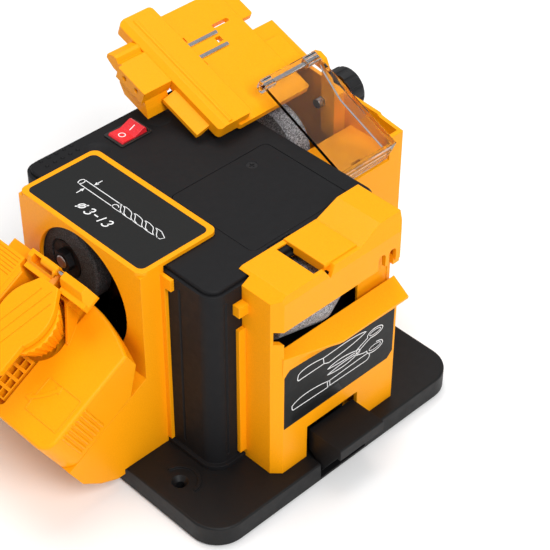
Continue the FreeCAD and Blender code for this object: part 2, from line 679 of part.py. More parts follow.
SEAT_C = -HEAD_T - SLIDE_GAP


def drill_outline(offset):
    """Side outline of the drill housing, shrunk inwards by offset."""
    k = offset
    low = on_slope(HEAD_LOW + k, SEAT_C - k)
    heel = on_slope(HEAD_LOW + k, SEAT_C - 17.0 + 0.5 * k)
    seat_a = (DRILL_FACE_X + k - HEAD_X + (SEAT_C - k) * math.sin(math.radians(HEAD_TILT)))
    seat_a = seat_a / math.cos(math.radians(HEAD_TILT))
    seat = on_slope(seat_a, SEAT_C - k)
    return [(BODY_X0, DRILL_FLOOR + k), (-101.5, DRILL_FLOOR + k), (-101.5 - k, 11.4 + k),
            (-107.0, 11.4 + k), (-119.0 + 0.4 * k, 16.6 + k), heel, low, seat,
            (DRILL_FACE_X + k, DRILL_TOP - DRILL_PLATE_T), (BODY_X0, DRILL_TOP - DRILL_PLATE_T)]


def drill_housing():
    outer = along_y(drill_outline(0.0), SIDE_Y0, SIDE_Y1)
    inner = along_y(drill_outline(WALL), SIDE_Y0 + WALL, SIDE_Y1 - WALL)
    back = box(BODY_X0 - 3, BODY_X0 + 1, SIDE_Y0 + WALL, SIDE_Y1 - WALL, DRILL_FLOOR + WALL,
               DRILL_TOP - DRILL_PLATE_T)
    shell = less(outer, inner, back)
    plate = rounded_box(DRILL_FACE_X, DRILL_PLATE_X1, SIDE_Y0, SIDE_Y1,
                        DRILL_TOP - DRILL_PLATE_T, DRILL_TOP, 5.0)
    # side flanges against the column, each with a hooked tab at its head
    flanges = []
    for y0, y1 in ((SIDE_Y0 - 3.4, SIDE_Y0 + 0.5), (SIDE_Y1 - 0.5, SIDE_Y1 + 3.4)):
        flanges.append(box(BODY_X0 - 2.6, BODY_X0 - 0.2, y0, y1, DRILL_FLOOR + 4, 138))
    flanges.append(box(BODY_X0 - 2.6, BODY_X0 - 0.2, SIDE_Y0 - 8.5, SIDE_Y0, 134, 141.5))
    # ribs under the slanted seat, on both sides of the pivot boss
    ribs = []
    for dy in (-26, 26):
        rib = along_y(drill_outline(WALL - 0.4), SIDE_YC + dy - 1.1, SIDE_YC + dy + 1.1)
        ribs.append(rib.common(box(-150, -92, SIDE_Y0, SIDE_Y1, 0, 100)))
    shell = join(shell, plate, *flanges, *ribs)
    boss = in_head(cyl_z(PIVOT_R + 3.5, SEAT_C - 9, SEAT_C - 1, PIVOT_A, 0))
    shell = join(shell, boss)
    port = cyl_x(PORT_R, DRILL_FACE_X - 3, DRILL_FACE_X + 9, SIDE_YC, PORT_Z)
    label = rounded_box(*DRILL_LABEL, DRILL_TOP - SKIN, DRILL_TOP + 2, 4.0)
    pivot = in_head(cyl_z(PIVOT_R, SEAT_C - 8, SEAT_C + 1, PIVOT_A, 0))
    shell = less(shell, port, label, pivot)
    port_rim = [e for e in shell.Edges
                if abs(e.BoundBox.XMin - DRILL_FACE_X) < 1e-4 and e.BoundBox.XLength < 1e-4
                and e.BoundBox.ZLength > 60 and e.Curve.TypeId == "Part::GeomCircle"]
    if port_rim:
        shell = shell.makeFillet(0.8, port_rim)
    return shell


DRILL_LABEL = (DRILL_FACE_X + 3.2, DRILL_PLATE_X1 - 3.6, SIDE_Y0 + 3.2, SIDE_Y1 - 3.2)


def drill_label():
    x0, x1, y0, y1 = DRILL_LABEL
    return rounded_box(x0 + 0.05, x1 - 0.05, y0 + 0.05, y1 - 0.05, DRILL_TOP - SKIN, DRILL_TOP, 4.0)


def head_outline():
    """Plan of the swivel head on its slanted face."""
    h = HEAD_HALF
    crown = Part.Arc(Vector(0, -h, 0), Vector(HEAD_CROWN, 0, 0), Vector(0, h, 0)).toShape()
    left = Part.makeLine(Vector(0, h, 0), Vector(HEAD_LOW, h, 0))
    low = Part.makeLine(Vector(HEAD_LOW, h, 0), Vector(HEAD_LOW, -h, 0))
    right = Part.makeLine(Vector(HEAD_LOW, -h, 0), Vector(0, -h, 0))
    return Part.Face(Part.Wire([crown, left, low, right]))


def head_block():
    """Outer form of the swivel head, rounded, hollow underneath and slanted back at its crown."""
    block = head_outline()
    block.translate(Vector(0, 0, -HEAD_T))
    block = block.extrude(Vector(0, 0, HEAD_T))
    low_edges = [e for e in block.Edges
                 if abs(e.BoundBox.XMax - HEAD_LOW) < 1e-4 and e.BoundBox.ZLength > 5]
    block = block.makeFillet(9.0, low_edges)
    face_edges = [e for e in block.Edges if abs(e.BoundBox.ZMin) < 1e-4 and abs(e.BoundBox.ZMax) < 1e-4]
    block = block.makeFillet(2.0, face_edges)
    slope = 0.968
    depth = 60.0
    crest = COLUMN_A[1] + 0.2
    wedge = along_y([(crest, 0.1), (depth, 0.1), (depth, -depth), (crest - depth * slope, -depth)], -80, 80)
    cavity = box(HEAD_LOW + 3, -20, -HEAD_HALF + 3, HEAD_HALF - 3, -HEAD_T - 1, -12.0)
    cavity = round_edges(cavity, 6.0, is_upright)
    return less(block, wedge, cavity)


def head_deck():
    """Raised deck on the head's left side: sloped at its foot, with a rim and fine grooves."""
    profile = [(-46.0, -0.5), (-28.0, DECK_C), (DECK_A, DECK_C), (DECK_A, 7.0), (-1.0, -0.5)]
    deck = along_y(profile, DECK_B, HEAD_HALF)
    crest = [e for e in deck.Edges if abs(e.BoundBox.ZMin - DECK_C) < 1e-4 and e.BoundBox.XLength > 5]
    deck = deck.makeFillet(1.0, crest)
    step = box(DECK_A - 1, 14.5, DECK_B + 5.0, HEAD_HALF - 2, 10.5, 14.0)
    rim = box(-26.0, DECK_A, DECK_B + 0.8, DECK_B + 4.0, DECK_C - 1, DECK_C + 0.5)
    notch = along_z([(0.5, DECK_B - 1), (JAW_A[0] - 0.6, DECK_B + 5.0), (DECK_A + 9, DECK_B + 5.0),
                     (DECK_A + 9, DECK_B - 1)], -1, DECK_C + 2)
    deck = join(deck, step, rim).cut(notch)
    grooves = []
    for i in range(6):
        a = DECK_A - 2.2 - 2.2 * i
        grooves.append(box(a - 0.25, a + 0.25, DECK_B + 6.5, HEAD_HALF - 3, DECK_C - 0.4, DECK_C + 1))
    return less(deck, *grooves)


def head_fin(side):
    """Curved wall beside the clamp wheel; it falls from the column to the head's face."""
    start, mid, end = (4.0, 9.6), (-5.0, 13.7), (-14.6, 17.6)
    outer = Part.Arc(*[Vector(a, side * b, -1) for a, b in (start, mid, end)]).toShape()
    inner = Part.Arc(*[Vector(a, side * (b - FIN_T), -1) for a, b in (start, mid, end)]).toShape()
    caps = [Part.makeLine(Vector(a, side * b, -1), Vector(a, side * (b - FIN_T), -1)) for a, b in (start, end)]
    wall = Part.Face(Part.Wire(Part.__sortEdges__([outer, inner] + caps)))
    wall = wall.extrude(Vector(0, 0, JAW_LEDGE_C + 1))
    above = along_y([(COLUMN_A[0] - 0.2, COLUMN_C), (end[0], 0.6), (end[0] - 9, 0.6), (end[0] - 9, 40),
                     (20, 40), (20, COLUMN_C)], -40, 40)
    return wall.cut(above)


def head_column():
    """Hollow column between the fins; the jaws' risers come up through it."""
    a0, a1 = COLUMN_A
    column = box(a0, a1, -COLUMN_B, COLUMN_B, -0.5, COLUMN_C)
    return column.cut(box(a0 + 1.8, a1 - 1.8, -COLUMN_B + FIN_T, COLUMN_B - FIN_T, -1, COLUMN_C + 1))


def head_island():
    """Lattice block that stands in the channel under the grip."""
    low = CHANNEL_A + 3.0
    pitch = 6.5
    pocket = 4.4
    half = CHANNEL_HALF - 2.8
    island = box(low, low + 4 * pitch + 1.0, -half, half, CHANNEL_C - 0.5, -1.0)
    pockets = []
    for i in range(4):
        a = low + 1.0 + pitch * i
        for b in (-half + 0.8, 0.4):
            pockets.append(box(a, a + pocket, b, b + pocket, CHANNEL_C + 0.8, 0))
    return less(island, *pockets)


def swivel_head():
    adds = [cyl_z(PIVOT_R + 4, -HEAD_T, -11, PIVOT_A, 0)]
    for b in (-24, 24):
        adds.append(box(HEAD_LOW + 1, -19, b - 1.1, b + 1.1, -HEAD_T + 4, -11))
    block = join(head_block(), head_deck(), *adds)
    well = cyl_z(WELL_R, WELL_C, 5, PIVOT_A, 0)
    channel = rounded_box(CHANNEL_A, PIVOT_A, -CHANNEL_HALF, CHANNEL_HALF, CHANNEL_C, 5, 3.0)
    plan = (PIVOT_A, COLUMN_A[1] - 1.8, -TRACK_HALF, TRACK_HALF)
    track = box(*plan, TRACK_C, 5)
    bores = [cyl_z(PIVOT_R + RUN_FIT, -HEAD_T - 1, -16, PIVOT_A, 0),
             cyl_z(3.0 + RUN_FIT, -13, 0, PIVOT_A, 0)]
    block = less(block, well, channel, track, *bores)
    block = join(block, head_column(), head_fin(-1), head_fin(1), head_island(), swing_arrow(), *grip_ribs())
    # the jaws' feet run below the column and the fins
    return in_head(block.cut(box(*plan, TRACK_C, 0)))


def grip_ribs():
    """Upright ribs for the fingers down both sides of the head."""
    ribs = []
    for i in range(7):
        a = -55.4 + 3.1 * i
        for side in (-1, 1):
            ribs.append(cyl_z(0.9, -HEAD_T + 4, -2.0, a, side * HEAD_HALF))
    return ribs


def swing_arrow():
    """Raised frame and double-ended arrow on the head's face; it shows the way the head swings."""
    frame = rounded_box(-56.0, -33.8, -48.6, -21.2, -0.5, 0.35, 1.2)
    frame = frame.cut(rounded_box(-55.4, -34.4, -48.0, -21.8, -1, 1, 0.8))
    r = 36.5
    middle = math.radians(226)
    half = math.radians(12.5)
    high = 0.45
    ring = cyl_z(r + 1.1, -0.5, high, PIVOT_A, 0).cut(cyl_z(r - 1.1, -1, 1, PIVOT_A, 0))
    far = 60.0
    keep = along_z([(PIVOT_A, 0)] + [(PIVOT_A + far * math.cos(middle + s * half),
                                      far * math.sin(middle + s * half)) for s in (-1, 1)], -1, 1)
    parts = [frame, ring.common(keep)]
    for s in (-1, 1):
        t = middle + s * half
        tip = t + s * math.radians(6)
        parts.append(along_z([(PIVOT_A + (r + d) * math.cos(q), (r + d) * math.sin(q))
                              for d, q in ((-2.8, t), (0.0, tip), (2.8, t))], -0.5, high))
    return join(parts[0], *parts[1:])


def swivel_pivot():
    pin = cyl_z(PIVOT_R, SEAT_C - 8, -16.3, PIVOT_A, 0)
    return in_head(less(pin, cyl_z(2.2, SEAT_C - 12, SEAT_C - 3, PIVOT_A, 0)))


def scroll_slot():
    """Two spiral slots, cut as chains of round-ended steps, that carry the jaw pins."""
    cuts = []
    steps = 12
    r = SCROLL_PIN_R + 0.35
    low, high = CLAMP_LOW_C - 1, CLAMP_LOW_C + SCROLL_DEPTH
    for start in (0, 180):
        last = None
        for i in range(steps + 1):
            turn = -SCROLL_SPAN + 2 * SCROLL_SPAN * i / steps
            radius = SCROLL_R + SCROLL_PITCH * turn / 360.0
            angle = math.radians(90 + start - turn)
            p = Vector(PIVOT_A + radius * math.cos(angle), radius * math.sin(angle), 0)
            cuts.append(cyl_z(r, low, high, p.x, p.y))
            if last is not None:
                d = p.sub(last)
                n = Vector(-d.y, d.x, 0).normalize().multiply(r)
                quad = [last.add(n), p.add(n), p.sub(n), last.sub(n)]
                cuts.append(along_z([(q.x, q.y) for q in quad], low, high))
            last = p
    return cuts


def clamp_wheel():
    """Knurled cone that widens upwards; the scroll in its underside drives the jaws."""
    low, top = CLAMP_LOW_C, CLAMP_TOP_C
    shoulder = top - 1.6
    profile = [(0, low), (CLAMP_LOW_R, low), (CLAMP_TOP_R, shoulder), (CLAMP_TOP_R, top - 0.7),
               (CLAMP_TOP_R - 0.7, top), (0, top)]
    cone = face_of([Vector(PIVOT_A + r, 0, c) for r, c in profile])
    cone = cone.revolve(Vector(PIVOT_A, 0, 0), Z_DIR, 360)
    cone = join(cone, cyl_z(3.0, -10.0, low + 1, PIVOT_A, 0))
    spread = (CLAMP_TOP_R - CLAMP_LOW_R) / (shoulder - low)
    knurls = []
    for i in range(KNURL_TEETH):
        t = 2 * math.pi * i / KNURL_TEETH
        radial = Vector(math.cos(t), math.sin(t), 0)
        foot = Vector(PIVOT_A, 0, low - 2) + radial * (CLAMP_LOW_R - 2 * spread + KNURL_CUT_R * 0.45)
        knurls.append(Part.makeCylinder(KNURL_CUT_R, 26.0, foot, radial * spread + Z_DIR))
    return in_head(less(cone, *(knurls + scroll_slot())))


def grip_outline():
    """Plan of the wing grip: narrow end towards the jaws, round lobes, broad lower bar."""
    a0, a1 = GRIP_A
    half, lower = 7.0, 13.0
    neck, lobe, waist = (-1.8, 12.2), (-17.0, 17.5), (-30.8, 13.4)
    edges = []
    for side in (-1, 1):
        points = [Vector(a, side * b, 0) for a, b in ((a1, half), (-0.8, 11.4), neck)]
        edges += [Part.makeLine(points[0], points[1]), Part.makeLine(points[1], points[2])]
        edges.append(Part.Arc(*[Vector(a, side * b, 0) for a, b in (neck, lobe, waist)]).toShape())
        edges.append(Part.makeLine(Vector(waist[0], side * waist[1], 0), Vector(waist[0], side * lower, 0)))
        edges.append(Part.makeLine(Vector(waist[0], side * lower, 0), Vector(a0, side * lower, 0)))
    edges.append(Part.makeLine(Vector(a0, lower, 0), Vector(a0, -lower, 0)))
    edges.append(Part.makeLine(Vector(a1, half, 0), Vector(a1, -half, 0)))
    return Part.Face(Part.Wire(Part.__sortEdges__(edges)))


def wing_bar():
    """Flat wing grip on the clamp wheel, with long fine grooves."""
    low, top = GRIP_C
    plate = grip_outline()
    plate.translate(Vector(0, 0, low))
    plate = plate.extrude(Vector(0, 0, top - low))
    lower_corners = [e for e in plate.Edges if is_upright(e) and abs(e.BoundBox.XMax - GRIP_A[0]) < 1e-4]
    plate = plate.makeFillet(4.0, lower_corners)
    top_edges = [e for e in plate.Edges if abs(e.BoundBox.ZMin - top) < 1e-4]
    plate = plate.makeFillet(0.6, top_edges)
    stem = cyl_z(15.0, CLAMP_TOP_C, low + 0.5, PIVOT_A, 0)
    grooves = []
    for i, (a0, a1) in enumerate(((-46.0, -4.0), (-44.0, 2.0), (-40.0, 0.0))):
        groove = box(a0, a1, -0.3, 0.3, top - 0.4, top + 1)
        groove.rotate(Vector(0, 0, 0), Z_DIR, -16.5)
        groove.translate(Vector(0, -11.0 + 6.4 * i, 0))
        grooves.append(groove)
    return in_head(less(join(plate, stem), *grooves))


def jaw_base(side):
    """What both jaws share: ledge and upright, riser through the column, arm and scroll pin."""
    a0, a1 = JAW_A
    under = COLUMN_C + SLIDE_GAP
    profile = [(a0, under), (a1, under), (a1, JAW_TOP_C), (JAW_LEDGE_A + 3.4, JAW_TOP_C),
               (JAW_LEDGE_A, JAW_LEDGE_C), (a0, JAW_LEDGE_C)]
    body = along_y(profile, JAW_GAP, JAW_B)
    riser = box(COLUMN_A[0] + 2.2, COLUMN_A[1] - 2.2, JAW_GAP + 0.3, JAW_GAP + 3.0, TRACK_C + 0.3, under + 1)
    foot = box(COLUMN_A[0] + 2.2, COLUMN_A[1] - 2.2, JAW_GAP + 0.3, SCROLL_R + 1.8, TRACK_C + 0.3, -0.3)
    arm = box(PIVOT_A - 2.4, COLUMN_A[0] + 3.0, SCROLL_R - 1.8, SCROLL_R + 1.8, TRACK_C + 0.3, -0.3)
    pin = cyl_z(SCROLL_PIN_R, TRACK_C + 0.4, CLAMP_LOW_C + SCROLL_DEPTH - 0.4, PIVOT_A, SCROLL_R)
    shape = join(body, riser, foot, arm, pin)
    vee = along_x([(JAW_GAP - 1, 17.6), (JAW_GAP + 2.4, 21.0), (JAW_GAP - 1, 24.4)], 0, a1 + 1)
    shape = shape.cut(vee)
    if side < 0:
        shape = shape.mirror(Vector(0, 0, 0), Y_DIR)
    return shape


def jaw_left():
    """Open trough with a round boss in which the guide pin slides."""
    shape = jaw_base(1)
    trough = box(JAW_LEDGE_A + 1.6, JAW_A[1] - 2.0, JAW_GAP + 1.8, JAW_B - 3.4, 18.4, 40)
    boss = cyl_y(GUIDE_PIN_R + 1.3, JAW_GAP, JAW_GAP + 13.0, *GUIDE_PIN)
    shape = join(shape.cut(trough), boss)
    return in_head(shape.cut(cyl_y(GUIDE_PIN_R + RUN_FIT, 0, JAW_GAP + 12.0, *GUIDE_PIN)))


def jaw_right():
    """Solid jaw with a sloped outer end; it holds the guide pin."""
    shape = jaw_base(-1)
    under = COLUMN_C + SLIDE_GAP
    slope = along_x([(-JAW_B + 5.0, JAW_TOP_C + 0.1), (-JAW_B - 1, JAW_TOP_C + 0.1), (-JAW_B - 1, under + 2.0),
                     (-JAW_B, under + 2.0)], JAW_LEDGE_A, 40)
    return in_head(less(shape, slope, cyl_y(GUIDE_PIN_R, -14.0, 0, *GUIDE_PIN)))


def guide_pin():
    """Bright pin that keeps the two jaws in line."""
    return in_head(cyl_y(GUIDE_PIN_R, -14.0, 8.6, *GUIDE_PIN))


# ---------------------------------------------------------------- knife module
def knife_plan(x0, x1, y0, y1, c):
    """Plan with the two front corners cut off."""
    return [(x0, y1), (x0, y0 + c), (x0 + c, y0), (x1 - 1.5, y0), (x1, y0 + 1.5), (x1, y1)]


KNIFE_LABEL = [(-38.6, 49.5), (45.5, 49.5), (49.6, 53.5), (49.6, 86.0), (5.0, 87.0), (-12.0, 93.0),
               (-34.6, 93.0), (-38.6, 89.0)]


def knife_housing():
    outer = along_z(knife_plan(KNIFE_X0, KNIFE_X1, KNIFE_Y0, KNIFE_Y1, KNIFE_CHAMFER),
                    BASE_TOP + 0.3, SLOT_LOW)
    inner = along_z(knife_plan(KNIFE_X0 + WALL, KNIFE_X1 - WALL, KNIFE_Y0 + WALL, KNIFE_Y1 + 5,
                               KNIFE_CHAMFER - 1), BASE_TOP + 0.3 + WALL, SLOT_LOW + 5)
    shell = outer.cut(inner)
    # front wall ends below the slot; the ledge replaces it
    shell = shell.cut(box(KNIFE_X0 + KNIFE_CHAMFER + 0.2, KNIFE_X1 + 1, KNIFE_Y0 - 1, -90.0,
                          100.0, SLOT_LOW + 1))
    adds = [knife_ledge()]
    # flanges against the housing, with a hooked tab at the head of the left one
    adds.append(box(KNIFE_X0 - 4.6, KNIFE_X0 + 1, KNIFE_Y1 - 2.6, KNIFE_Y1, BASE_TOP + 6, SLOT_LOW))
    adds.append(box(KNIFE_X1 - 1, KNIFE_X1 + 4.6, KNIFE_Y1 - 2.6, KNIFE_Y1, BASE_TOP + 6, SLOT_LOW))
    for x in (-15, 20):
        adds.append(box(x - 1, x + 1, KNIFE_Y0 + 1.5, KNIFE_Y0 + 8, BASE_TOP + 27, 94))
    # shroud between the blade slot and the belt
    adds.append(box(BELT_GUARD_X, KNIFE_X1 - 1, -89.6, -88.0, 94.0, SLOT_LOW))
    shell = join(shell, *adds)
    cuts = [box(LATCH_X0 - 3, LATCH_X1 + 3, KNIFE_Y0 - 5, KNIFE_Y1 - 3.4, 0, 39.0),
            along_y(KNIFE_LABEL, KNIFE_Y0 - 5, KNIFE_Y0 + SKIN)]
    return less(shell, *cuts)


LEDGE_FOOT = 91.0        # underside of the ledge
LEDGE_BACK_Y = -95.6     # inner face of the wall it grows from
LEDGE_CREST_Y = -93.4    # inner edge of the rest, clear of the wheel


def ledge_section(x, y_tip, z_tip, y_root):
    pts = [(y_root, LEDGE_FOOT), (y_tip, z_tip - 1.6), (y_tip - 0.2, z_tip),
           (LEDGE_CREST_Y, 105.8), (LEDGE_CREST_Y, 102.4), (LEDGE_BACK_Y, 98.0), (LEDGE_BACK_Y, LEDGE_FOOT)]
    return Part.makePolygon([Vector(x, y, z) for y, z in pts + [pts[0]]])


def knife_ledge():
    """Slanted rest along the lower edge of the blade slot; it widens to the right."""
    left = ledge_section(KNIFE_X0 + KNIFE_CHAMFER - 0.6, KNIFE_Y0 - 0.4, 104.0, KNIFE_Y0)
    mid = ledge_section(0.0, FLANGE_Y, FLANGE_Z, KNIFE_Y0)
    right = ledge_section(KNIFE_X1, FLANGE_Y, FLANGE_Z, KNIFE_Y0)
    taper = Part.makeLoft([left, mid], True, True)
    straight = Part.makeLoft([mid, right], True, True)
    return taper.fuse(straight)


def knife_label():
    k = 0.0
    plate = along_y(KNIFE_LABEL, KNIFE_Y0 + k, KNIFE_Y0 + SKIN)
    return plate


def knife_cover():
    c = KNIFE_CHAMFER
    lower = along_z(knife_plan(KNIFE_X0, KNIFE_X1, KNIFE_Y0, KNIFE_Y1, c), SLOT_LOW, COVER_TOP + 0.3)
    roof = along_z(knife_plan(KNIFE_X0, KNIFE_X1, KNIFE_Y0, -63.0, c), COVER_TOP + 0.3, RAMP_TOP)
    block = join(lower, roof)
    # side view of the roof line, cut away above: bevel, flat, ramp and crown
    roof_line = [(KNIFE_X0 - 5, KNIFE_TOP - 7), (KNIFE_X0 + 8, KNIFE_TOP), (19.5, KNIFE_TOP),
                 (36.0, RAMP_TOP), (60, RAMP_TOP), (60, 175), (KNIFE_X0 - 5, 175)]
    block = block.cut(along_y(roof_line, -130, -40))
    # the front of the roof leans back a little
    lean = along_x([(KNIFE_Y0 - 1, KNIFE_TOP - 9), (KNIFE_Y0 - 1, 175), (KNIFE_Y0 + 8.4, 175)],
                   KNIFE_X0 - 5, KNIFE_X1 + 5)
    block = block.cut(lean)
    hollow = along_z(knife_plan(KNIFE_X0 + WALL, KNIFE_X1 - WALL, KNIFE_Y0 + WALL, KNIFE_Y1 + 5, c - 1),
                     SLOT_LOW - 1, KNIFE_TOP - 4.4)
    block = block.cut(hollow)
    cuts = []
    # blade slot: it wraps round the left corner and runs out at the right
    cuts.append(box(KNIFE_X0 + 1.2, KNIFE_X1 + 5, KNIFE_Y0 - 5, KNIFE_Y0 + 9.0, SLOT_LOW - 1, SLOT_TOP))
    # scissor channel through the roof, with flared mouth, and its nick on the front edge
    channel = along_y([(GAP_X0, KNIFE_TOP + 9), (GAP_X0, 139), (GAP_X1, 139), (GAP_X1, KNIFE_TOP + 9)],
                      KNIFE_Y0 + 3.6, -66.0)
    cuts.append(channel)
    cuts.append(along_y([(GAP_X1 - 3, KNIFE_TOP + 1), (GAP_X1 + 1.5, KNIFE_TOP - 6.5),
                         (GAP_X1 + 6, KNIFE_TOP + 1)], KNIFE_Y0 - 3, KNIFE_Y0 + 5))
    # two arched windows over the slot at the right
    for x in (33.5, 42.0):
        cuts.append(box(x, x + 5.6, KNIFE_Y0 - 5, KNIFE_Y0 + 6, SLOT_TOP - 1, 129.5))
        cuts.append(cyl_y(2.8, KNIFE_Y0 - 5, KNIFE_Y0 + 6, x + 2.8, 129.5))
    block = less(block, *cuts)
    # raised pad to the right of the channel, lip that hangs from the right-hand corner
    pad = box(GAP_X1, 19.0, KNIFE_Y0 + 3.6, -63.5, KNIFE_TOP - 1, KNIFE_TOP + 1.4)
    pad = pad.makeFillet(0.7, [e for e in pad.Edges if abs(e.BoundBox.ZMin - KNIFE_TOP - 1.4) < 1e-4])
    lip = box(KNIFE_X1 - WALL - 2.4, KNIFE_X1, KNIFE_Y0 + 1.8, KNIFE_Y0 + 9.0, SLOT_TOP - 4.4, SLOT_TOP + 2)
    shroud = box(BELT_GUARD_X, KNIFE_X1 - 1, -89.6, -88.0, SLOT_LOW, KNIFE_TOP - 3)
    block = join(block, pad, lip, shroud)
    tab = box(KNIFE_X0 - 6.6, KNIFE_X0 + 1, KNIFE_Y1 - 5.0, KNIFE_Y1, 126.0, 133.0)
    return join(block, tab)


# ---------------------------------------------------------------- release latch
def latch_lever():
    x0, x1 = LATCH_X0, LATCH_X1
    pad = box(x0, x1, -122.0, -97.0, 31.4, 34.4)
    lip = box(x0, x1, -122.0, -119.4, 27.0, 34.0)
    pad = join(pad, lip)
    pad = pad.makeFillet(1.0, [e for e in pad.Edges
                               if abs(e.BoundBox.ZMin - 34.4) < 1e-4 and abs(e.BoundBox.YMax + 122) < 1e-4])
    toe = LATCH_TOE_Y
    gusset = [(-119.6, 31.6), (-97.0, 31.6), (-97.0, 18.4), (toe + 3.1, 15.0),
              (toe + 3.1, LATCH_TOE_Z), (toe, LATCH_TOE_Z), (-119.6, 27.2)]
    sides = [along_x(gusset, x0, x0 + 2.4), along_x(gusset, x1 - 2.4, x1),
             along_x(gusset, -1.2, 1.2)]
    apron = along_x([(toe + 0.9, LATCH_TOE_Z), (toe + 3.1, LATCH_TOE_Z), (toe + 3.1, 32.0),
                     (toe + 0.9, 32.0)], x0, x1)
    arms = []
    for a in (x0 + 4, x1 - 7):
        arms.append(along_x([(toe + 2.5, 17.4), (toe + 2.5, 29.0), (LATCH_PIN_Y - 2, LATCH_PIN_Z + 3.2),
                             (LATCH_PIN_Y + 3.2, LATCH_PIN_Z + 2.0), (LATCH_PIN_Y + 3.2, LATCH_PIN_Z - 2.6),
                             (LATCH_PIN_Y - 2, LATCH_PIN_Z - 3.2)], a, a + 3))
    shape = join(pad, *sides, apron, *arms)
    bore = cyl_x(LATCH_PIN_R + RUN_FIT, x0 - 5, x1 + 5, LATCH_PIN_Y, LATCH_PIN_Z)
    return less(shape, bore)


def latch_pin():
    return cyl_x(LATCH_PIN_R, LATCH_X0 - 0.6, LATCH_X1 + 0.6, LATCH_PIN_Y, LATCH_PIN_Z)


def latch_brackets():
    """Two lugs on the base carry the latch pin."""
    lugs = []
    for x in (LATCH_X0 - 0.6, LATCH_X1 - 2.4):
        profile = [(LATCH_PIN_Y - 4, BASE_TOP - 2.2), (LATCH_PIN_Y + 6, BASE_TOP - 2.2),
                   (LATCH_PIN_Y + 3, LATCH_PIN_Z + 3), (LATCH_PIN_Y - 3, LATCH_PIN_Z + 3)]
        lugs.append(along_x(profile, x, x + 3.0))
    both = Part.makeCompound(lugs)
    return less(both, cyl_x(LATCH_PIN_R, -60, 60, LATCH_PIN_Y, LATCH_PIN_Z))


def latch_spring():
    """Torsion spring round the latch pin; its tail rests on the base."""
    coils = []
    turns = 4
    r = 2.6
    wire = 0.5
    for i in range(turns):
        ring = Part.makeTorus(r, wire, Vector(-1.4 + 0.9 * i, LATCH_PIN_Y, LATCH_PIN_Z), X_DIR)
        coils.append(ring)
    tail = Part.makeCylinder(wire, LATCH_PIN_Z - BASE_TOP + 2.2,
                             Vector(-1.3, LATCH_PIN_Y + r - 0.2, BASE_TOP - 2.2), Z_DIR)
    return join(coils[0], *coils[1:], tail)


# ---------------------------------------------------------------- chisel module
RAIL_DEPTH = 9.4
RAIL_FRONT_Y = 44.0


def under_rail(y):
    """Height of the guide rail's underside at y."""
    t = math.radians(GUIDE_TILT)
    return GUIDE_Z + (y - GUIDE_Y) * math.tan(t) - RAIL_DEPTH / math.cos(t)


def chisel_side():
    """(y, z) outline of the chisel module seen along X."""
    rear = under_rail(SIDE_Y1)
    front = under_rail(RAIL_FRONT_Y)
    return [(SIDE_Y0, CHISEL_FLOOR), (SIDE_Y1, CHISEL_FLOOR), (SIDE_Y1, rear), (RAIL_FRONT_Y, front),
            (24.0, 146.6), (-15.0, 144.0), (-16.4, 142.6), (SIDE_Y0, 140.0)]


def chisel_housing():
    outer = along_x(chisel_side(), CHISEL_X0, CHISEL_X1)
    under = along_y([(CHISEL_X1 + 5, 58.0), (CHISEL_X1, 58.0), (100.5, CHISEL_FLOOR), (100.5, 0),
                     (CHISEL_X1 + 5, 0)], SIDE_Y0 - 1, SIDE_Y1 + 1)
    outer = outer.cut(under)
    k = WALL
    cavity = along_y([(CHISEL_X0 - 5, CHISEL_FLOOR + k), (99.3, CHISEL_FLOOR + k),
                      (CHISEL_X1 - k, 59.0), (CHISEL_X1 - k, 200), (CHISEL_X0 - 5, 200)],
                     SIDE_Y0 + k, SIDE_Y1 - k)
    shell = outer.cut(cavity)
    # low front wall in front of the shelf, where the guard reaches over
    shell = shell.cut(box(CHISEL_X0 - 1, GUARD_X1 + 1.6, SIDE_Y0 - 1, SIDE_Y0 + 9, SHELF_Z, 200))
    shelf = box(CHISEL_X0, CHISEL_X1 - 1, SIDE_Y0 + 1, SHELF_Y, SHELF_Z - WALL, SHELF_Z)
    shelf = shelf.cut(box(92.0, 99.0, SIDE_Y0 + 9, SIDE_Y0 + 13, 0, 200))
    lip = box(CHISEL_X0, CHISEL_X1 - 1, SHELF_Y - WALL, SHELF_Y, SHELF_Z - 12, SHELF_Z)
    # cheek that carries the guard's hinge pin
    cheek = along_x([(12.0, 120.0), (23.2, 120.0), (23.2, 160.6), (GUARD_PIN[0] + 4, 162.5),
                     (GUARD_PIN[0] + 4, GUARD_PIN[1] + 3.0), (GUARD_PIN[0] - 1, GUARD_PIN[1] + 4.4),
                     (GUARD_PIN[0] - 6, GUARD_PIN[1] + 2), (12.0, 148.0)], GUARD_X1 + 0.5, GUARD_X1 + 4.0)
    post = box(GUARD_X1 + 0.5, CHISEL_X1 - 1, 12.0, 23.2, 116.0, 146.6)
    inner_wall = along_x([(34.0, 120.0), (SIDE_Y1 - 1, 120.0), (SIDE_Y1 - 1, under_rail(SIDE_Y1 - 1)),
                          (RAIL_FRONT_Y, under_rail(RAIL_FRONT_Y)), (34.0, 146.0)],
                         CHISEL_X0, CHISEL_X0 + WALL)
    # flanges against the motor housing
    flanges = [box(CHISEL_X0, CHISEL_X0 + 2.4, SIDE_Y0 - 3.4, SIDE_Y0 + 1, CHISEL_FLOOR + 4, SHELF_Z - 3),
               box(CHISEL_X0, CHISEL_X0 + 2.4, SIDE_Y1 - 1, SIDE_Y1 + 3.4, CHISEL_FLOOR + 4, 138)]
    shell = join(shell, shelf, lip, cheek, post, inner_wall, *flanges)
    cuts = [cyl_x(GUARD_PIN_R, GUARD_X1 - 5, GUARD_X1 + 10, *GUARD_PIN),
            cyl_x(3.0 + RUN_FIT, GUARD_X1 - 8, CHISEL_X1 + 5, KNOB_Y, KNOB_Z)]
    return less(shell, *cuts)


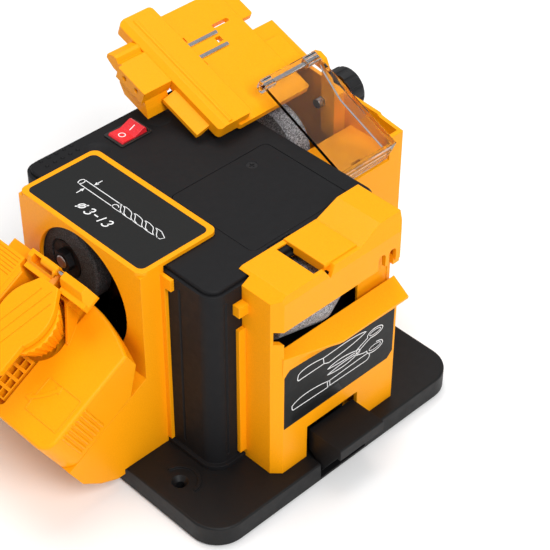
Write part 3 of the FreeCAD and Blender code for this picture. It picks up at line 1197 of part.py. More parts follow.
GUARD_PIN_S = GUARD_LEN - 3.0
GUARD_PIN_N = -2.4
GUARD_PIN = (GUARD_LOW_Y + GUARD_PIN_S * math.cos(math.radians(GUARD_TILT))
             - GUARD_PIN_N * math.sin(math.radians(GUARD_TILT)),
             GUARD_LOW_Z + GUARD_PIN_S * math.sin(math.radians(GUARD_TILT))
             + GUARD_PIN_N * math.cos(math.radians(GUARD_TILT)))


def guard_shield():
    """Clear hinged shield: sloping plate, right-hand side wall, ribbed front lip and hinge eyes."""
    plate = box(GUARD_X0, GUARD_X1, 0, GUARD_LEN, 0, GUARD_T)
    side = along_x([(0.0, 0.5), (GUARD_LEN - 8, 0.5), (GUARD_LEN - 12, -3.0), (44.0, -9.0),
                    (8.0, -9.0), (0.0, -9.0)], GUARD_X1 - GUARD_T, GUARD_X1)
    lip = box(GUARD_X0, GUARD_X1, 0, GUARD_T, -15.0, 0.5)
    ribs = [cyl_x(0.9, GUARD_X0 + 2, GUARD_X1 - 2, 0, -4.0 - 3.4 * i) for i in range(3)]
    eyes = [cyl_x(3.0, GUARD_X1 - 9, GUARD_X1, GUARD_PIN_S, GUARD_PIN_N),
            cyl_x(3.0, GUARD_X0, GUARD_X0 + 9, GUARD_PIN_S, GUARD_PIN_N),
            box(GUARD_X1 - 9, GUARD_X1, GUARD_PIN_S - 3, GUARD_PIN_S + 2.9, GUARD_PIN_N, 0.5),
            box(GUARD_X0, GUARD_X0 + 9, GUARD_PIN_S - 3, GUARD_PIN_S + 2.9, GUARD_PIN_N, 0.5)]
    shape = join(plate, side, lip, *ribs, *eyes)
    shape = less(shape, cyl_x(GUARD_PIN_R + RUN_FIT, GUARD_X0 - 5, GUARD_X1 + 5, GUARD_PIN_S, GUARD_PIN_N))
    return in_guard(shape)


def guard_pin():
    return cyl_x(GUARD_PIN_R, GUARD_X0 + 0.5, GUARD_X1 + 4.0, *GUARD_PIN)


# ---- chisel guide, built flat: x across, y up the slope, z off the plate's face
PLATE_X0 = 30.5
BAR_X1 = 55.8
PLATE_X1 = 103.2
PLATE_S0 = -5.2
PLATE_S1 = 84.0
PLATE_T = 4.0
ROD_S = (46.7, 57.3)
ROD_R = 1.5
RAIL_TOP = -PLATE_T - SLIDE_GAP


def guide_plate():
    plate = rounded_box(BAR_X1 - 10, PLATE_X1, PLATE_S0, PLATE_S1, -PLATE_T, 0, 2.0)
    tabs = [rounded_box(PLATE_X1 - 4, 113.0, 57.5, PLATE_S1, -PLATE_T, -0.6, 2.4),
            rounded_box(PLATE_X1 - 4, 116.5, 9.5, 36.5, -PLATE_T, -0.6, 2.4)]
    # hooks under the plate that embrace the rail
    hooks = [box(70, 98, 9.4, 12.0, -12.6, -PLATE_T + 1), box(70, 98, 9.4, 16.0, -14.6, -12.4),
             box(70, 98, 50.0, 52.6, -12.6, -PLATE_T + 1), box(70, 98, 46.0, 52.6, -14.6, -12.4)]
    shape = join(plate, *tabs, *hooks)
    cuts = [rounded_box(82.5, 95.5, 60.4, 63.2, -9, 1, 1.3)]
    for x, s in ((58.8, 62.0), (79.5, 52.2), (58.1, 41.8)):
        cuts.append(box(x - 2, x + 2, s - 2, s + 2, -9, 1))
    for s in ROD_S:
        cuts.append(cyl_x(ROD_R, 0, 81.6, s, 0))
    return in_guide(less(shape, *cuts))


def guide_bar():
    bar = rounded_box(PLATE_X0, BAR_X1, PLATE_S0 + 1.6, 90.5, 0.05 - PLATE_T, 5.2, 3.0)
    bar = bar.cut(box(BAR_X1 - 10, BAR_X1 + 1, PLATE_S0 - 5, PLATE_S1 + 0.3, -PLATE_T - 1, 0))
    # bevelled left shoulder and the long ridge beside it
    shoulder = along_y([(PLATE_X0 - 1, 2.2), (PLATE_X0 + 4.4, 5.4), (PLATE_X0 + 4.4, 9),
                        (PLATE_X0 - 1, 9)], PLATE_S0 - 5, 100)
    bar = bar.cut(shoulder)
    ridge = along_y([(PLATE_X0 + 7, 5.0), (PLATE_X0 + 8, 6.2), (PLATE_X0 + 9.6, 6.2),
                     (PLATE_X0 + 10.6, 5.0)], PLATE_S0 + 3, 86)
    lip = along_y([(PLATE_X0 + 1, -3.6), (PLATE_X0 + 1, -0.6), (PLATE_X0 - 8.5, -4.6),
                   (PLATE_X0 - 8.5, -7.2), (PLATE_X0 - 5, -7.2)], 5.0, 36.0)
    bar = join(bar, ridge, lip)
    return in_guide(less(bar, *[cyl_x(ROD_R, -20, 120, s, 0) for s in ROD_S]))


def guide_rods():
    rods = [cyl_x(ROD_R, 10.5, 81.6, s, 0) for s in ROD_S]
    return in_guide(Part.makeCompound(rods))


def chisel_jaw():
    """Sliding jaw left of the bar: hooked tab above, stepped bracket below, on the two rods."""
    x1 = PLATE_X0 - SLIDE_GAP
    block = box(9.0, x1, 40.0, 64.0, -5.0, 3.4)
    hook = along_x([(64.0, -5.0), (64.0, 3.4), (72.0, 3.4), (77.0, 0.6), (77.0, -2.4), (70.0, -5.0)],
                   12.0, x1)
    bracket = along_x([(34.0, -14.0), (56.0, -14.0), (62.0, -9.0), (62.0, -4.0), (40.0, -4.0),
                       (36.5, -9.0)], 11.0, x1 - 2.0)
    groove = along_y([(8.0, -1.0), (15.0, -1.0), (17.5, 1.6), (17.5, 9.0), (8.0, 9.0)], 42.0, 60.0)
    shape = join(block, hook, bracket)
    shape = shape.cut(along_x([(65.0, 3.5), (67.4, 1.2), (69.8, 3.5)], 0, 40))
    bores = [cyl_x(ROD_R + RUN_FIT, 0, 60, s, 0) for s in ROD_S]
    return in_guide(less(shape, *bores))


def guide_rail():
    """Fixed ramp of the chisel module; the guide plate's hooks run along it."""
    x0, x1 = CHISEL_X0, CHISEL_X1
    deck = box(x0, x1, 12.3, 49.7, -RAIL_DEPTH, RAIL_TOP)
    hollow = box(x0 + 3.2, x1 - 3.2, 15.0, 47.0, -RAIL_DEPTH - 1, -7.0)
    ribs = [box(x0 + 3, x1 - 3, s - 0.9, s + 0.9, -RAIL_DEPTH, -6.5) for s in (25.5, 36.5)]
    return in_guide(join(deck.cut(hollow), *ribs))


def adjust_knob():
    """Ribbed knob on the module's outer wall."""
    x0 = KNOB_X
    disc = cyl_x(KNOB_R, x0, x0 + 12.0, KNOB_Y, KNOB_Z)
    outer = [e for e in disc.Edges if e.BoundBox.XMin > x0 + 11.9]
    disc = disc.makeFillet(3.0, outer)
    flutes = []
    for i in range(12):
        t = 2 * math.pi * i / 12
        flutes.append(cyl_x(1.6, x0 - 1, x0 + 20, KNOB_Y + (KNOB_R + 0.5) * math.cos(t),
                            KNOB_Z + (KNOB_R + 0.5) * math.sin(t)))
    return less(disc, *flutes, cyl_x(3.0, x0 - 1, x0 + 6, KNOB_Y, KNOB_Z))


def knob_screw():
    screw = cyl_x(3.0, GUARD_X1 - 4.0, KNOB_X + 6.0, KNOB_Y, KNOB_Z)
    collar = cyl_x(5.0, CHISEL_X1 + SLIDE_GAP, KNOB_X, KNOB_Y, KNOB_Z)
    return join(screw, collar)


NODES = {
    "base_plate": base_plate,
    "rubber_feet": rubber_feet,
    "body_shell": body_shell,
    "top_cover": top_cover,
    "service_panel": service_panel,
    "panel_screw": panel_screw,
    "switch_frame": switch_frame,
    "rocker_switch": rocker,
    "cord_gland": cord_gland,
    "motor_can": motor_can,
    "motor_end_left": motor_end_left,
    "motor_end_right": motor_end_right,
    "motor_bearings": motor_bearings,
    "stator_core": stator,
    "motor_cradle": motor_cradle,
    "rotor_shaft": rotor_shaft,
    "rotor_core": rotor_core,
    "cooling_fan": fan,
    "drill_wheel": drill_wheel,
    "drill_wheel_clamp": drill_wheel_clamp,
    "chisel_wheel": chisel_wheel,
    "chisel_wheel_clamp": chisel_wheel_clamp,
    "motor_pulley": motor_pulley,
    "drive_belt": drive_belt,
    "spindle_pulley": spindle_pulley,
    "spindle_bracket": spindle_bracket,
    "spindle_bearings": spindle_bearings,
    "knife_spindle": knife_spindle,
    "knife_wheel": knife_wheel,
    "drill_housing": drill_housing,
    "drill_label": drill_label,
    "swivel_head": swivel_head,
    "swivel_pivot": swivel_pivot,
    "clamp_wheel": clamp_wheel,
    "wing_bar": wing_bar,
    "jaw_left": jaw_left,
    "jaw_right": jaw_right,
    "stop_pin": guide_pin,
    "knife_housing": knife_housing,
    "knife_label": knife_label,
    "knife_cover": knife_cover,
    "latch_lever": latch_lever,
    "latch_pin": latch_pin,
    "latch_brackets": latch_brackets,
    "latch_spring": latch_spring,
    "chisel_housing": chisel_housing,
    "guard_shield": guard_shield,
    "guard_pin": guard_pin,
    "guide_rail": guide_rail,
    "guide_plate": guide_plate,
    "guide_bar": guide_bar,
    "guide_rods": guide_rods,
    "chisel_jaw": chisel_jaw,
    "adjust_knob": adjust_knob,
    "knob_screw": knob_screw,
}

for node, make in NODES.items():
    solid = make().copy()
    solid.translate(Vector(0, -ORIGIN_Y, 0))
    solid.exportStep("parts/%s.step" % node)
    box_mm = solid.BoundBox
    print("%-20s %2d solid  x %7.1f %7.1f  y %7.1f %7.1f  z %7.1f %7.1f  valid %s"
          % (node, len(solid.Solids), box_mm.XMin, box_mm.XMax, box_mm.YMin, box_mm.YMax,
             box_mm.ZMin, box_mm.ZMax, solid.isValid()))
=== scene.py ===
import json
import math

import bmesh
import bpy
from mathutils import Matrix, Vector


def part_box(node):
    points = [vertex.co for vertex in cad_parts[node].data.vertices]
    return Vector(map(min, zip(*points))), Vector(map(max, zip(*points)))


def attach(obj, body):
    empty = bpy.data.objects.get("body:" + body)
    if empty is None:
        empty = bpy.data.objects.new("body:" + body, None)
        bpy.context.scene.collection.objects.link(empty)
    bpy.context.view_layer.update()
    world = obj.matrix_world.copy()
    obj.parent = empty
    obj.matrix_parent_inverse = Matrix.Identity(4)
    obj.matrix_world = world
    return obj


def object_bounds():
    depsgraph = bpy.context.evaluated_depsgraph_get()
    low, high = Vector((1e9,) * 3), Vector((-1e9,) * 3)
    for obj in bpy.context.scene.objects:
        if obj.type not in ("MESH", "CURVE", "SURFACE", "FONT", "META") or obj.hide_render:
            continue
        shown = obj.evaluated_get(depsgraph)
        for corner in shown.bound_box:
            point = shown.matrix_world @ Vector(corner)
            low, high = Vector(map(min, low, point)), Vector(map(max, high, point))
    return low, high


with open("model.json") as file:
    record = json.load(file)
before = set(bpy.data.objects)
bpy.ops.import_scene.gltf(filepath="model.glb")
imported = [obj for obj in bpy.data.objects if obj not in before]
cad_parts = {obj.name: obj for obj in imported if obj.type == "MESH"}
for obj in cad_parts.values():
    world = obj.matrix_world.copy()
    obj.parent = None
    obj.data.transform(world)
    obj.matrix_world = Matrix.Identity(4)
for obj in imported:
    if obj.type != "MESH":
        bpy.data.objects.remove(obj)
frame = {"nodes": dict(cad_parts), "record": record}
cad_low, cad_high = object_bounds()
nodes = frame["nodes"]

MM = 0.001


# ------------------------------------------------------------------ material building blocks
def new_material(name):
    material = bpy.data.materials.new(name)
    material.use_nodes = True
    return material, material.node_tree, material.node_tree.nodes["Principled BSDF"]


def add(tree, kind, settings=None, **inputs):
    """A shader node; inputs are values, or sockets to link. An input name's spaces are written as _."""
    node = tree.nodes.new("ShaderNode" + kind)
    for key, value in (settings or {}).items():
        setattr(node, key, value)
    for key, value in inputs.items():
        socket = node.inputs[key.replace("_", " ")]
        if isinstance(value, bpy.types.NodeSocket):
            tree.links.new(value, socket)
        else:
            socket.default_value = value
    return node


def noise(tree, coords, scale, detail=3.0, roughness=0.5):
    node = add(tree, "TexNoise", None, Vector=coords, Scale=scale, Detail=detail, Roughness=roughness)
    return node.outputs[0]


def remap(tree, value, lo, hi, to_lo, to_hi):
    node = add(tree, "MapRange", None, Value=value, From_Min=lo, From_Max=hi, To_Min=to_lo, To_Max=to_hi)
    return node.outputs[0]


def mix_colour(tree, factor, a, b):
    node = tree.nodes.new("ShaderNodeMix")
    node.data_type = "RGBA"
    for socket, value in ((node.inputs[0], factor), (node.inputs[6], a), (node.inputs[7], b)):
        if isinstance(value, bpy.types.NodeSocket):
            tree.links.new(value, socket)
        else:
            socket.default_value = value
    return node.outputs[2]


def object_coords(tree):
    return tree.nodes.new("ShaderNodeTexCoord").outputs["Object"]


def edge_mask(tree, radius):
    """The rounded normal at an edge, and a mask that is 1 along edges."""
    rounded = add(tree, "Bevel", {"samples": 6}, Radius=radius).outputs[0]
    flat = tree.nodes.new("ShaderNodeNewGeometry").outputs["Normal"]
    dot = add(tree, "VectorMath", {"operation": "DOT_PRODUCT"})
    tree.links.new(rounded, dot.inputs[0])
    tree.links.new(flat, dot.inputs[1])
    return rounded, remap(tree, dot.outputs["Value"], 0.93, 0.999, 1.0, 0.0)


def rgba(colour, factor=1.0):
    return tuple(min(1.0, c * factor) for c in colour[:3]) + (1.0,)


def plastic(name, colour, rough=0.4, grain=1500.0, depth=0.02, edge=1.25, specular=0.4, mottle=0.06,
            radius=0.5 * MM):
    """Moulded plastic: spark-eroded grain, faint flow mottling, and lighter rubbed edges."""
    material, tree, shader = new_material(name)
    coords = object_coords(tree)
    flow = noise(tree, coords, 30.0, 4.0)
    grains = noise(tree, coords, grain, 2.0, 0.6)
    scuffs = noise(tree, coords, 160.0, 6.0, 0.7)
    rounded, edges = edge_mask(tree, radius)
    body = mix_colour(tree, flow, rgba(colour, 1.0 - mottle), rgba(colour, 1.0 + mottle))
    speck = mix_colour(tree, remap(tree, grains, 0.3, 0.7, 0.0, 1.0), rgba(colour, 0.82), rgba(colour, 1.12))
    body = mix_colour(tree, 0.35, body, speck)
    body = mix_colour(tree, edges, body, rgba(colour, edge))
    tree.links.new(body, shader.inputs["Base Color"])
    tree.links.new(remap(tree, scuffs, 0.3, 0.75, rough - 0.05, rough + 0.1), shader.inputs["Roughness"])
    shader.inputs["Specular IOR Level"].default_value = specular
    bump = add(tree, "Bump", None, Strength=depth * 10, Distance=0.1 * MM, Height=grains, Normal=rounded)
    tree.links.new(bump.outputs[0], shader.inputs["Normal"])
    return material


def metal(name, colour, rough=0.3, stretch=(1.0, 1.0, 1.0), scratch=0.2, radius=0.3 * MM):
    """Turned, ground or pressed metal; stretch lays its tool marks along an axis."""
    material, tree, shader = new_material(name)
    coords = object_coords(tree)
    laid = add(tree, "Mapping", None, Vector=coords, Scale=stretch).outputs[0]
    marks = noise(tree, laid, 900.0, 3.0, 0.6)
    cloud = noise(tree, coords, 60.0, 5.0, 0.6)
    rounded, edges = edge_mask(tree, radius)
    body = mix_colour(tree, cloud, rgba(colour, 0.75), rgba(colour, 1.1))
    body = mix_colour(tree, edges, body, rgba(colour, 1.3))
    tree.links.new(body, shader.inputs["Base Color"])
    shader.inputs["Metallic"].default_value = 1.0
    tree.links.new(remap(tree, marks, 0.3, 0.7, rough * 0.7, rough * 1.4), shader.inputs["Roughness"])
    bump = add(tree, "Bump", None, Strength=scratch, Distance=0.05 * MM, Height=marks, Normal=rounded)
    tree.links.new(bump.outputs[0], shader.inputs["Normal"])
    return material


def grit(name, tone_factor=1.0):
    """Bonded abrasive: grey, white and dark grains of about half a millimetre."""
    material, tree, shader = new_material(name)
    coords = object_coords(tree)
    cells = add(tree, "TexVoronoi", None, Vector=coords, Scale=1900.0)
    tone = add(tree, "SeparateColor", None, Color=cells.outputs["Color"]).outputs[0]
    ramp = tree.nodes.new("ShaderNodeValToRGB")
    ramp.color_ramp.elements[0].color = rgba((0.05, 0.05, 0.054), tone_factor)
    ramp.color_ramp.elements[1].color = rgba((0.50, 0.51, 0.53), tone_factor)
    middle = ramp.color_ramp.elements.new(0.5)
    middle.color = rgba((0.22, 0.225, 0.24), tone_factor)
    tree.links.new(tone, ramp.inputs[0])
    tree.links.new(ramp.outputs[0], shader.inputs["Base Color"])
    shader.inputs["Roughness"].default_value = 0.85
    bump = add(tree, "Bump", None, Strength=0.8, Distance=0.25 * MM, Height=cells.outputs["Distance"])
    tree.links.new(bump.outputs[0], shader.inputs["Normal"])
    return material


def clear(name):
    """Clear polycarbonate with a faint cast and fine rub marks."""
    material, tree, shader = new_material(name)
    coords = object_coords(tree)
    rubs = noise(tree, coords, 220.0, 6.0, 0.7)
    haze = noise(tree, coords, 25.0, 3.0)
    tint = mix_colour(tree, haze, (0.955, 0.972, 0.98, 1), (0.985, 0.99, 0.995, 1))
    tree.links.new(tint, shader.inputs["Base Color"])
    tree.links.new(remap(tree, rubs, 0.45, 0.8, 0.02, 0.12), shader.inputs["Roughness"])
    shader.inputs["Transmission Weight"].default_value = 1.0
    shader.inputs["IOR"].default_value = 1.45
    return material


YELLOW = (0.94, 0.345, 0.003)
BLACK = (0.0095, 0.0095, 0.0105)

# by material slot. plastic: colour, roughness, grain per metre and its depth, tone of edges, specular and
# mottling. metal: colour, roughness, stretch of its tool marks and their depth
LOOKS = {
    "black_base": plastic("black_base", (0.0055, 0.0055, 0.006), 0.5, 1700.0, 0.03, 1.8, 0.25),
    "black_body": plastic("black_body", BLACK, 0.55, 1500.0, 0.035, 1.5, 0.13),
    "yellow_shell": plastic("yellow_shell", YELLOW, 0.34, 1300.0, 0.008, 1.12, 0.13, 0.03),
    "label_black": plastic("label_black", (0.011, 0.0115, 0.0115), 0.45, 900.0, 0.006, 1.3, 0.16),
    "switch_red": plastic("switch_red", (0.72, 0.02, 0.03), 0.25, 900.0, 0.004, 1.2, 0.5, 0.03),
    "switch_black": plastic("switch_black", (0.012, 0.012, 0.012), 0.3, 900.0, 0.006, 1.6, 0.5),
    "bright_steel": metal("bright_steel", (0.72, 0.73, 0.75), 0.14, (0.05, 1.0, 1.0), 0.1),
    "machined_steel": metal("machined_steel", (0.46, 0.46, 0.47), 0.32, (1.0, 0.15, 0.15), 0.25),
    "motor_steel": metal("motor_steel", (0.28, 0.29, 0.31), 0.5, (0.3, 1.0, 1.0), 0.2),
    "abrasive": grit("abrasive"),
    "brass": metal("brass", (0.62, 0.42, 0.16), 0.3, (1.0, 0.15, 0.15), 0.2),
    "rubber": plastic("rubber", (0.014, 0.014, 0.014), 0.75, 800.0, 0.05, 1.4, 0.2),
    "clear_shield": clear("clear_shield"),
    "dark_knob": plastic("dark_knob", (0.009, 0.009, 0.010), 0.45, 1200.0, 0.03, 1.7, 0.35),
}

# pieces darker than their slot's: the wheel and clamp in the drill port carry painted shade for the dark
# port, and the cover's screw is blacked steel
PAINTED_SHADE_AND_BLACKED = {
    "drill_wheel": grit("port_shade_abrasive", 0.12),
    "drill_wheel_clamp": metal("port_shade_steel", (0.03, 0.03, 0.032), 0.6, (1.0, 0.15, 0.15), 0.2),
    "panel_screw": metal("blacked_steel", (0.045, 0.045, 0.047), 0.5, (1.0, 0.15, 0.15), 0.2),
}

for part in frame["record"]["subparts"]:
    mesh = nodes[part["node"]].data
    mesh.materials.clear()
    mesh.materials.append(PAINTED_SHADE_AND_BLACKED.get(part["node"], LOOKS[part["material_slot"]]))


# ------------------------------------------------------------------ printed and moulded details
class Sheet:
    """A flat drawing surface: u to the right, v up, both in mm from its centre."""

    def __init__(self, centre, right, up):
        self.centre = Vector(centre)
        self.right = Vector(right).normalized()
        self.up = Vector(up).normalized()
        self.out = self.right.cross(self.up)

    def at(self, u, v, lift):
        return self.centre + (self.right * u + self.up * v + self.out * lift) * MM


def arc(cu, cv, ru, rv, start, end, steps=20):
    """Points on an ellipse, angles in degrees."""
    turns = [math.radians(start + (end - start) * i / steps) for i in range(steps + 1)]
    return [(cu + ru * math.cos(t), cv + rv * math.sin(t)) for t in turns]


def bend(a, b, c, d, steps=14):
    """Points on a cubic curve from a to d that is pulled towards b and c."""
    points = []
    for i in range(steps + 1):
        t = i / steps
        k = ((1 - t) ** 3, 3 * t * (1 - t) ** 2, 3 * t * t * (1 - t), t ** 3)
        points.append(tuple(sum(w * q[n] for w, q in zip(k, (a, b, c, d))) for n in (0, 1)))
    return points


def lean(points, slant):
    """Slants points like italic figures."""
    return [(u + slant * v, v) for u, v in points]


def prism(mesh, sheet, outline, low, high):
    """A closed flat slab over an outline on the sheet."""
    bottom = [mesh.verts.new(sheet.at(u, v, low)) for u, v in outline]
    top = [mesh.verts.new(sheet.at(u, v, high)) for u, v in outline]
    mesh.faces.new(top)
    mesh.faces.new(bottom[::-1])
    for i in range(len(outline)):
        j = (i + 1) % len(outline)
        mesh.faces.new((bottom[i], bottom[j], top[j], top[i]))


def ribbon(mesh, sheet, points, width, low, high, closed=False):
    """A printed line of that width through the points; at a corner it takes the mean direction."""
    count = len(points)
    sides = []
    for i, (u, v) in enumerate(points):
        before = points[(i - 1) % count] if closed or i else points[0]
        after = points[(i + 1) % count] if closed or i < count - 1 else points[-1]
        d = Vector((after[0] - before[0], after[1] - before[1])).normalized()
        sides.append((u - d.y * width / 2, v + d.x * width / 2, u + d.y * width / 2, v - d.x * width / 2))
    rings = [[mesh.verts.new(sheet.at(*uv, lift)) for uv, lift in
              (((s[0], s[1]), low), ((s[2], s[3]), low), ((s[2], s[3]), high), ((s[0], s[1]), high))]
             for s in sides]
    for a, b in zip(rings, rings[1:] + (rings[:1] if closed else [])):
        for i in range(4):
            j = (i + 1) % 4
            mesh.faces.new((a[i], a[j], b[j], b[i]))
    if not closed:
        mesh.faces.new(rings[0][::-1])
        mesh.faces.new(rings[-1])


def piece(name, mesh, body, look, smooth=False):
    """Turns a bmesh into a named object that rides on a body."""
    bmesh.ops.recalc_face_normals(mesh, faces=mesh.faces)
    data = bpy.data.meshes.new(name)
    mesh.to_mesh(data)
    mesh.free()
    data.materials.append(look)
    for face in data.polygons:
        face.use_smooth = smooth
    thing = bpy.data.objects.new(name, data)
    bpy.context.scene.collection.objects.link(thing)
    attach(thing, body)
    return thing


INK = plastic("white_ink", (0.80, 0.80, 0.80), 0.5, 700.0, 0.004, 1.05, 0.3, 0.02, 0.02 * MM)
# a printed line's underside and top, in mm from the plate's face
INK_LOW, INK_HIGH = -0.03, 0.05


def drill_art():
    """Outline of a twist drill between two arrows, and the range of drill sizes as figures."""
    low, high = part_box("drill_label")
    sheet = Sheet(((low[0] + high[0]) / 2, (low[1] + high[1]) / 2, high[2]), (0, -1, 0), (1, 0, 0))
    mesh = bmesh.new()

    def line(points, width=0.5, closed=False):
        ribbon(mesh, sheet, points, width, INK_LOW, INK_HIGH, closed)

    shank_v, shank_r, shank_u, neck_u, tip_u = 2.4, 2.3, -33.0, -3.6, 35.5
    line(arc(shank_u, shank_v, 1.5, shank_r, 0, 360, 28)[:-1], 0.55, True)
    line([(shank_u, shank_v + shank_r), (neck_u + 3.0, shank_v + shank_r)])
    line([(shank_u, shank_v - shank_r), (neck_u, shank_v - shank_r)])
    line(bend((neck_u, shank_v - shank_r), (neck_u - 2.2, shank_v - 0.6), (neck_u + 1.0, shank_v + 2.0),
              (neck_u + 3.2, shank_v - 0.4)))
    pitch, turns = 9.0, 4
    for i in range(turns):
        u = neck_u + 0.6 + pitch * i
        for shift in (0.0, 3.1):
            line(bend((u + shift, shank_v + shank_r), (u + shift + 4.0, shank_v + shank_r - 0.3),
                      (u + shift + 3.4, shank_v - shank_r + 0.3), (u + shift + 7.6, shank_v - shank_r)), 0.42)
        line(bend((u + 3.1, shank_v + shank_r), (u + 5.2, shank_v + shank_r + 0.5),
                  (u + 7.0, shank_v + shank_r + 0.5), (u + pitch, shank_v + shank_r), 8), 0.42)
        line(bend((u - 1.4, shank_v - shank_r), (u + 0.6, shank_v - shank_r - 0.5),
                  (u + 4.0, shank_v - shank_r - 0.5), (u + 7.6, shank_v - shank_r), 8), 0.42)
    line([(tip_u - 3.0, shank_v + shank_r), (tip_u + 1.6, shank_v + 0.2), (tip_u + 0.4, shank_v - shank_r),
          (tip_u - 2.4, shank_v - shank_r)], 0.45)
    for u, side in ((-25.4, 1), (-27.0, -1)):
        v = shank_v + side * (shank_r + 0.5)
        prism(mesh, sheet, [(u, v), (u - 1.2, v + side * 2.6), (u + 1.2, v + side * 2.6)], INK_LOW, INK_HIGH)
        line([(u, v + side * 2.2), (u, v + side * 6.0)], 0.6)
    # figures: diameter sign, 3, dash, 1, 3
    base, tall, slant = -14.6, 6.0, 0.25
    half, mid_v = tall / 2, -14.6 + tall / 2

    def figure(points, shift, width=0.85, closed=False):
        moved = lean([(u, v - base) for u, v in points], slant)
        line([(u + shift, v + base) for u, v in moved], width, closed)

    def three(shift):
        figure(arc(0.0, mid_v + half / 2, 1.5, half / 2, 160, -90, 12), shift)
        figure(arc(0.0, mid_v - half / 2, 1.8, half / 2, 90, -160, 12), shift)

    figure(arc(0.0, mid_v, 1.9, 2.0, 0, 360, 24)[:-1], -16.4, 0.85, True)
    figure([(-1.7, base), (1.7, base + tall)], -16.4)
    three(-9.6)
    figure([(-1.6, mid_v), (1.6, mid_v)], -4.2)
    figure([(0.0, base), (0.0, base + tall)], 0.4)
    three(5.4)
    piece("drill_art", mesh, "machine", INK)


def knife_art():
    """Outlines of two kitchen knives and a pair of scissors, and a plain gloss bar."""
    low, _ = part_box("knife_label")
    sheet = Sheet(low, (1, 0, 0), (0, 0, 1))
    mesh = bmesh.new()

    def line(points, width=0.55, closed=False):
        ribbon(mesh, sheet, points, width, INK_LOW, INK_HIGH, closed)

    # upper knife: handle on the left, blade on the right
    line(bend((30.2, 35.2), (22.0, 37.2), (13.0, 37.6), (10.8, 35.0))
         + bend((10.6, 34.4), (9.6, 31.0), (10.6, 30.4), (13.0, 30.8))[1:] + [(30.8, 30.6)])
    line([(30.2, 35.2), (30.8, 30.6), (33.6, 29.4), (34.6, 28.9)])
    line([(30.2, 35.2), (48.0, 35.6)] + bend((48.0, 35.6), (56.0, 35.4), (62.0, 34.6), (64.8, 33.2))[1:]
         + bend((64.8, 33.2), (58.0, 30.6), (46.0, 29.6), (34.6, 28.9))[1:])
    # lower knife: blade on the left, handle on the right
    line(bend((34.0, 14.8), (24.0, 17.4), (12.0, 18.4), (6.2, 14.4))
         + bend((6.2, 14.4), (6.0, 11.4), (6.6, 10.6), (8.6, 10.8))[1:] + [(34.4, 10.0)])
    line([(34.0, 14.8), (36.0, 14.2), (36.2, 10.6), (34.4, 10.0), (34.0, 14.8)])
    line([(36.0, 14.4), (62.0, 15.2)] + arc(65.4, 12.6, 3.2, 2.6, 95, -95, 12) + [(36.2, 10.4)])
    # scissors: two blades, pivot and two finger rings
    line(bend((33.8, 24.2), (40.0, 26.4), (48.0, 26.2), (57.0, 23.4)) + [(63.0, 26.0)]
         + arc(72.4, 28.4, 6.4, 2.9, 200, -120, 24)
         + bend((69.2, 25.9), (64.0, 24.6), (60.0, 21.6), (56.0, 20.4)))
    line(bend((33.8, 24.2), (42.0, 22.8), (50.0, 22.6), (56.0, 22.4)))
    line(bend((33.8, 19.8), (42.0, 21.4), (50.0, 21.6), (57.0, 20.6)))
    line(bend((33.8, 19.8), (42.0, 17.8), (50.0, 17.6), (57.0, 19.8)) + [(63.0, 17.6)]
         + arc(72.8, 16.6, 6.6, 3.2, 170, 480, 24)[:-3])
    line(arc(72.4, 28.4, 4.6, 1.5, 0, 360, 24)[:-1], 0.4, True)
    line(arc(72.8, 16.8, 4.8, 1.7, 0, 360, 24)[:-1], 0.4, True)
    line(arc(58.6, 21.8, 1.6, 1.6, 0, 360, 18)[:-1], 0.5, True)
    piece("knife_art", mesh, "machine", INK)
    bar = bmesh.new()
    outline = arc(9.4, 4.6, 3.2, 3.2, 100, 260, 10) + [(46.6, 1.2), (43.2, 7.6)]
    prism(bar, sheet, outline, INK_LOW, 0.04)
    gloss = plastic("gloss_ink", (0.004, 0.004, 0.004), 0.35, 700.0, 0.004, 1.2, 0.3, 0.02, 0.02 * MM)
    piece("knife_art_bar", bar, "machine", gloss)


# the switch key: its tilt at rest in degrees, and in mm the depth of its dip and each half's reach and rise
ROCKER_TILT = 10.0
ROCKER_DIP = 3.1
ROCKER_REACH = 8.0
ROCKER_RISE = 1.8


def rocker_marks():
    """A bar on the raised half of the switch and a ring on the lowered half."""
    low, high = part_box("rocker_switch")
    mid_y = (low[1] + high[1]) / 2
    joints = frame["record"]["behaviour"]["joints"]
    pivot = Vector(next(joint["pos_m"] for joint in joints if joint["name"] == "rocker_tilt"))
    tilt = math.radians(ROCKER_TILT)
    mesh = bmesh.new()
    for side in (1, -1):
        slope = math.atan2(ROCKER_RISE, ROCKER_REACH) * side + tilt
        along = Vector((math.cos(slope), 0, math.sin(slope)))
        flat = Vector((side * ROCKER_REACH / 2, 0, ROCKER_DIP + ROCKER_RISE / 2)) * MM
        turned = Vector((flat.x * math.cos(tilt) - flat.z * math.sin(tilt), 0,
                         flat.x * math.sin(tilt) + flat.z * math.cos(tilt)))
        sheet = Sheet((pivot.x + turned.x, mid_y, pivot.z + turned.z), (0, -1, 0), along)
        if side > 0:
            ribbon(mesh, sheet, [(0, -2.2), (0, 2.2)], 0.7, INK_LOW, INK_HIGH)
        else:
            ribbon(mesh, sheet, arc(0, 0, 2.0, 2.0, 0, 360, 28)[:-1], 0.6, INK_LOW, INK_HIGH, True)
    piece("rocker_marks", mesh, "rocker", INK)


# the pips on the cover, in mm: counts, spacing, and how far the first lies from the cover's side and back
PIP_ROWS, PIPS_IN_ROW = 2, 5
PIP_PITCH, PIP_ROW_PITCH = 5.6, 5.8
PIP_FROM_SIDE, PIP_FROM_BACK = 9.6, 2.7
PIP_RADIUS, PIP_FLATTENING = 1.3, 0.55


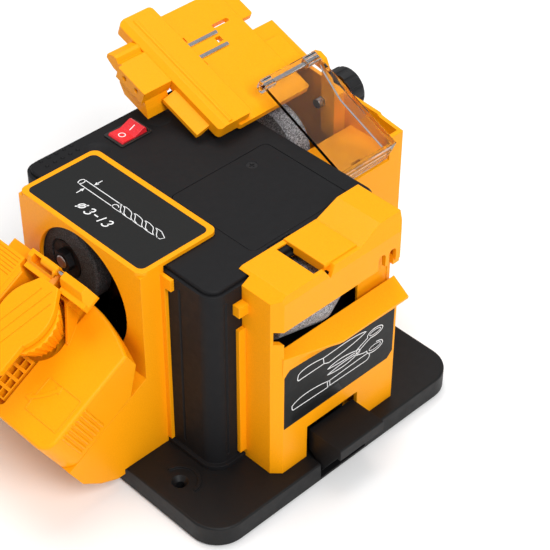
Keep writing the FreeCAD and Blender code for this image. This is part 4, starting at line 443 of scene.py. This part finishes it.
def grip_dots():
    """Two rows of moulded pips on the cover's rear left corner."""
    low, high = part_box("top_cover")
    mesh = bmesh.new()
    for row in range(PIP_ROWS):
        for column in range(PIPS_IN_ROW):
            place = Vector((low[0] + (PIP_FROM_SIDE + PIP_PITCH * column) * MM,
                            high[1] - (PIP_FROM_BACK + PIP_ROW_PITCH * row) * MM, high[2]))
            shape = Matrix.Translation(place) @ Matrix.Diagonal((1.0, 1.0, PIP_FLATTENING, 1.0))
            bmesh.ops.create_uvsphere(mesh, u_segments=14, v_segments=8, radius=PIP_RADIUS * MM,
                                      matrix=shape)
    piece("grip_dots", mesh, "machine", LOOKS["black_body"], True)


drill_art()
knife_art()
rocker_marks()
grip_dots()


# ------------------------------------------------------------------ floor, light and camera
FLOOR_SIZE, FLOOR_GAP = 14.0, 0.0002  # in metres; the gap keeps the feet off the floor
WORLD_STRENGTH = 0.42
# name, place in metres, power in watts and size in metres
LAMPS = (
    ("key", (-0.5, -1.7, 1.9), 47.0, 1.2),
    ("left_fill", (-2.0, 0.3, 1.1), 4.0, 1.4),
    ("top", (0.3, 0.5, 2.3), 29.0, 1.4),
)


def place_floor():
    bpy.ops.mesh.primitive_plane_add(size=FLOOR_SIZE, location=(0, 0, cad_low[2] - FLOOR_GAP))
    floor = bpy.context.object
    floor.name = "floor"
    material, tree, shader = new_material("floor")
    coords = object_coords(tree)
    tone = mix_colour(tree, noise(tree, coords, 6.0, 4.0), (0.90, 0.90, 0.90, 1), (0.94, 0.94, 0.94, 1))
    tree.links.new(tone, shader.inputs["Base Color"])
    shader.inputs["Roughness"].default_value = 0.9
    floor.data.materials.append(material)


def area_light(name, place, energy, size, aim=(0.0, 0.0, 0.08)):
    data = bpy.data.lights.new(name, "AREA")
    data.energy = energy
    data.size = size
    lamp = bpy.data.objects.new(name, data)
    lamp.location = place
    lamp.rotation_euler = (Vector(aim) - Vector(place)).to_track_quat("-Z", "Y").to_euler()
    bpy.context.scene.collection.objects.link(lamp)


CAMERA_TURNS = (45.46, 40.38, 0.34)  # yaw from +X, pitch down and roll, in degrees
CAMERA_PLACE = (-0.5034, -0.5777, 0.7216)
LENS_MM, SENSOR_MM = 110.3, 36.0


def place_camera():
    yaw, pitch, roll = (math.radians(angle) for angle in CAMERA_TURNS)
    ahead = Vector((math.cos(yaw) * math.cos(pitch), math.sin(yaw) * math.cos(pitch), -math.sin(pitch)))
    side = Vector((math.sin(yaw), -math.cos(yaw), 0.0))
    up = side.cross(ahead)
    across = math.cos(roll) * side + math.sin(roll) * up
    up = -math.sin(roll) * side + math.cos(roll) * up
    turn = Matrix((across, up, -ahead)).transposed().to_4x4()
    data = bpy.data.cameras.new("camera")
    data.lens = LENS_MM
    data.sensor_width = SENSOR_MM
    camera = bpy.data.objects.new("camera", data)
    camera.matrix_world = Matrix.Translation(CAMERA_PLACE) @ turn
    bpy.context.scene.collection.objects.link(camera)
    bpy.context.scene.camera = camera


place_floor()
for lamp in LAMPS:
    area_light(*lamp)
world = bpy.data.worlds.new("studio")
world.use_nodes = True
background = world.node_tree.nodes["Background"]
background.inputs["Color"].default_value = (1, 1, 1, 1)
background.inputs["Strength"].default_value = WORLD_STRENGTH
scene = bpy.context.scene
scene.world = world
scene.view_settings.view_transform = "Standard"
place_camera()
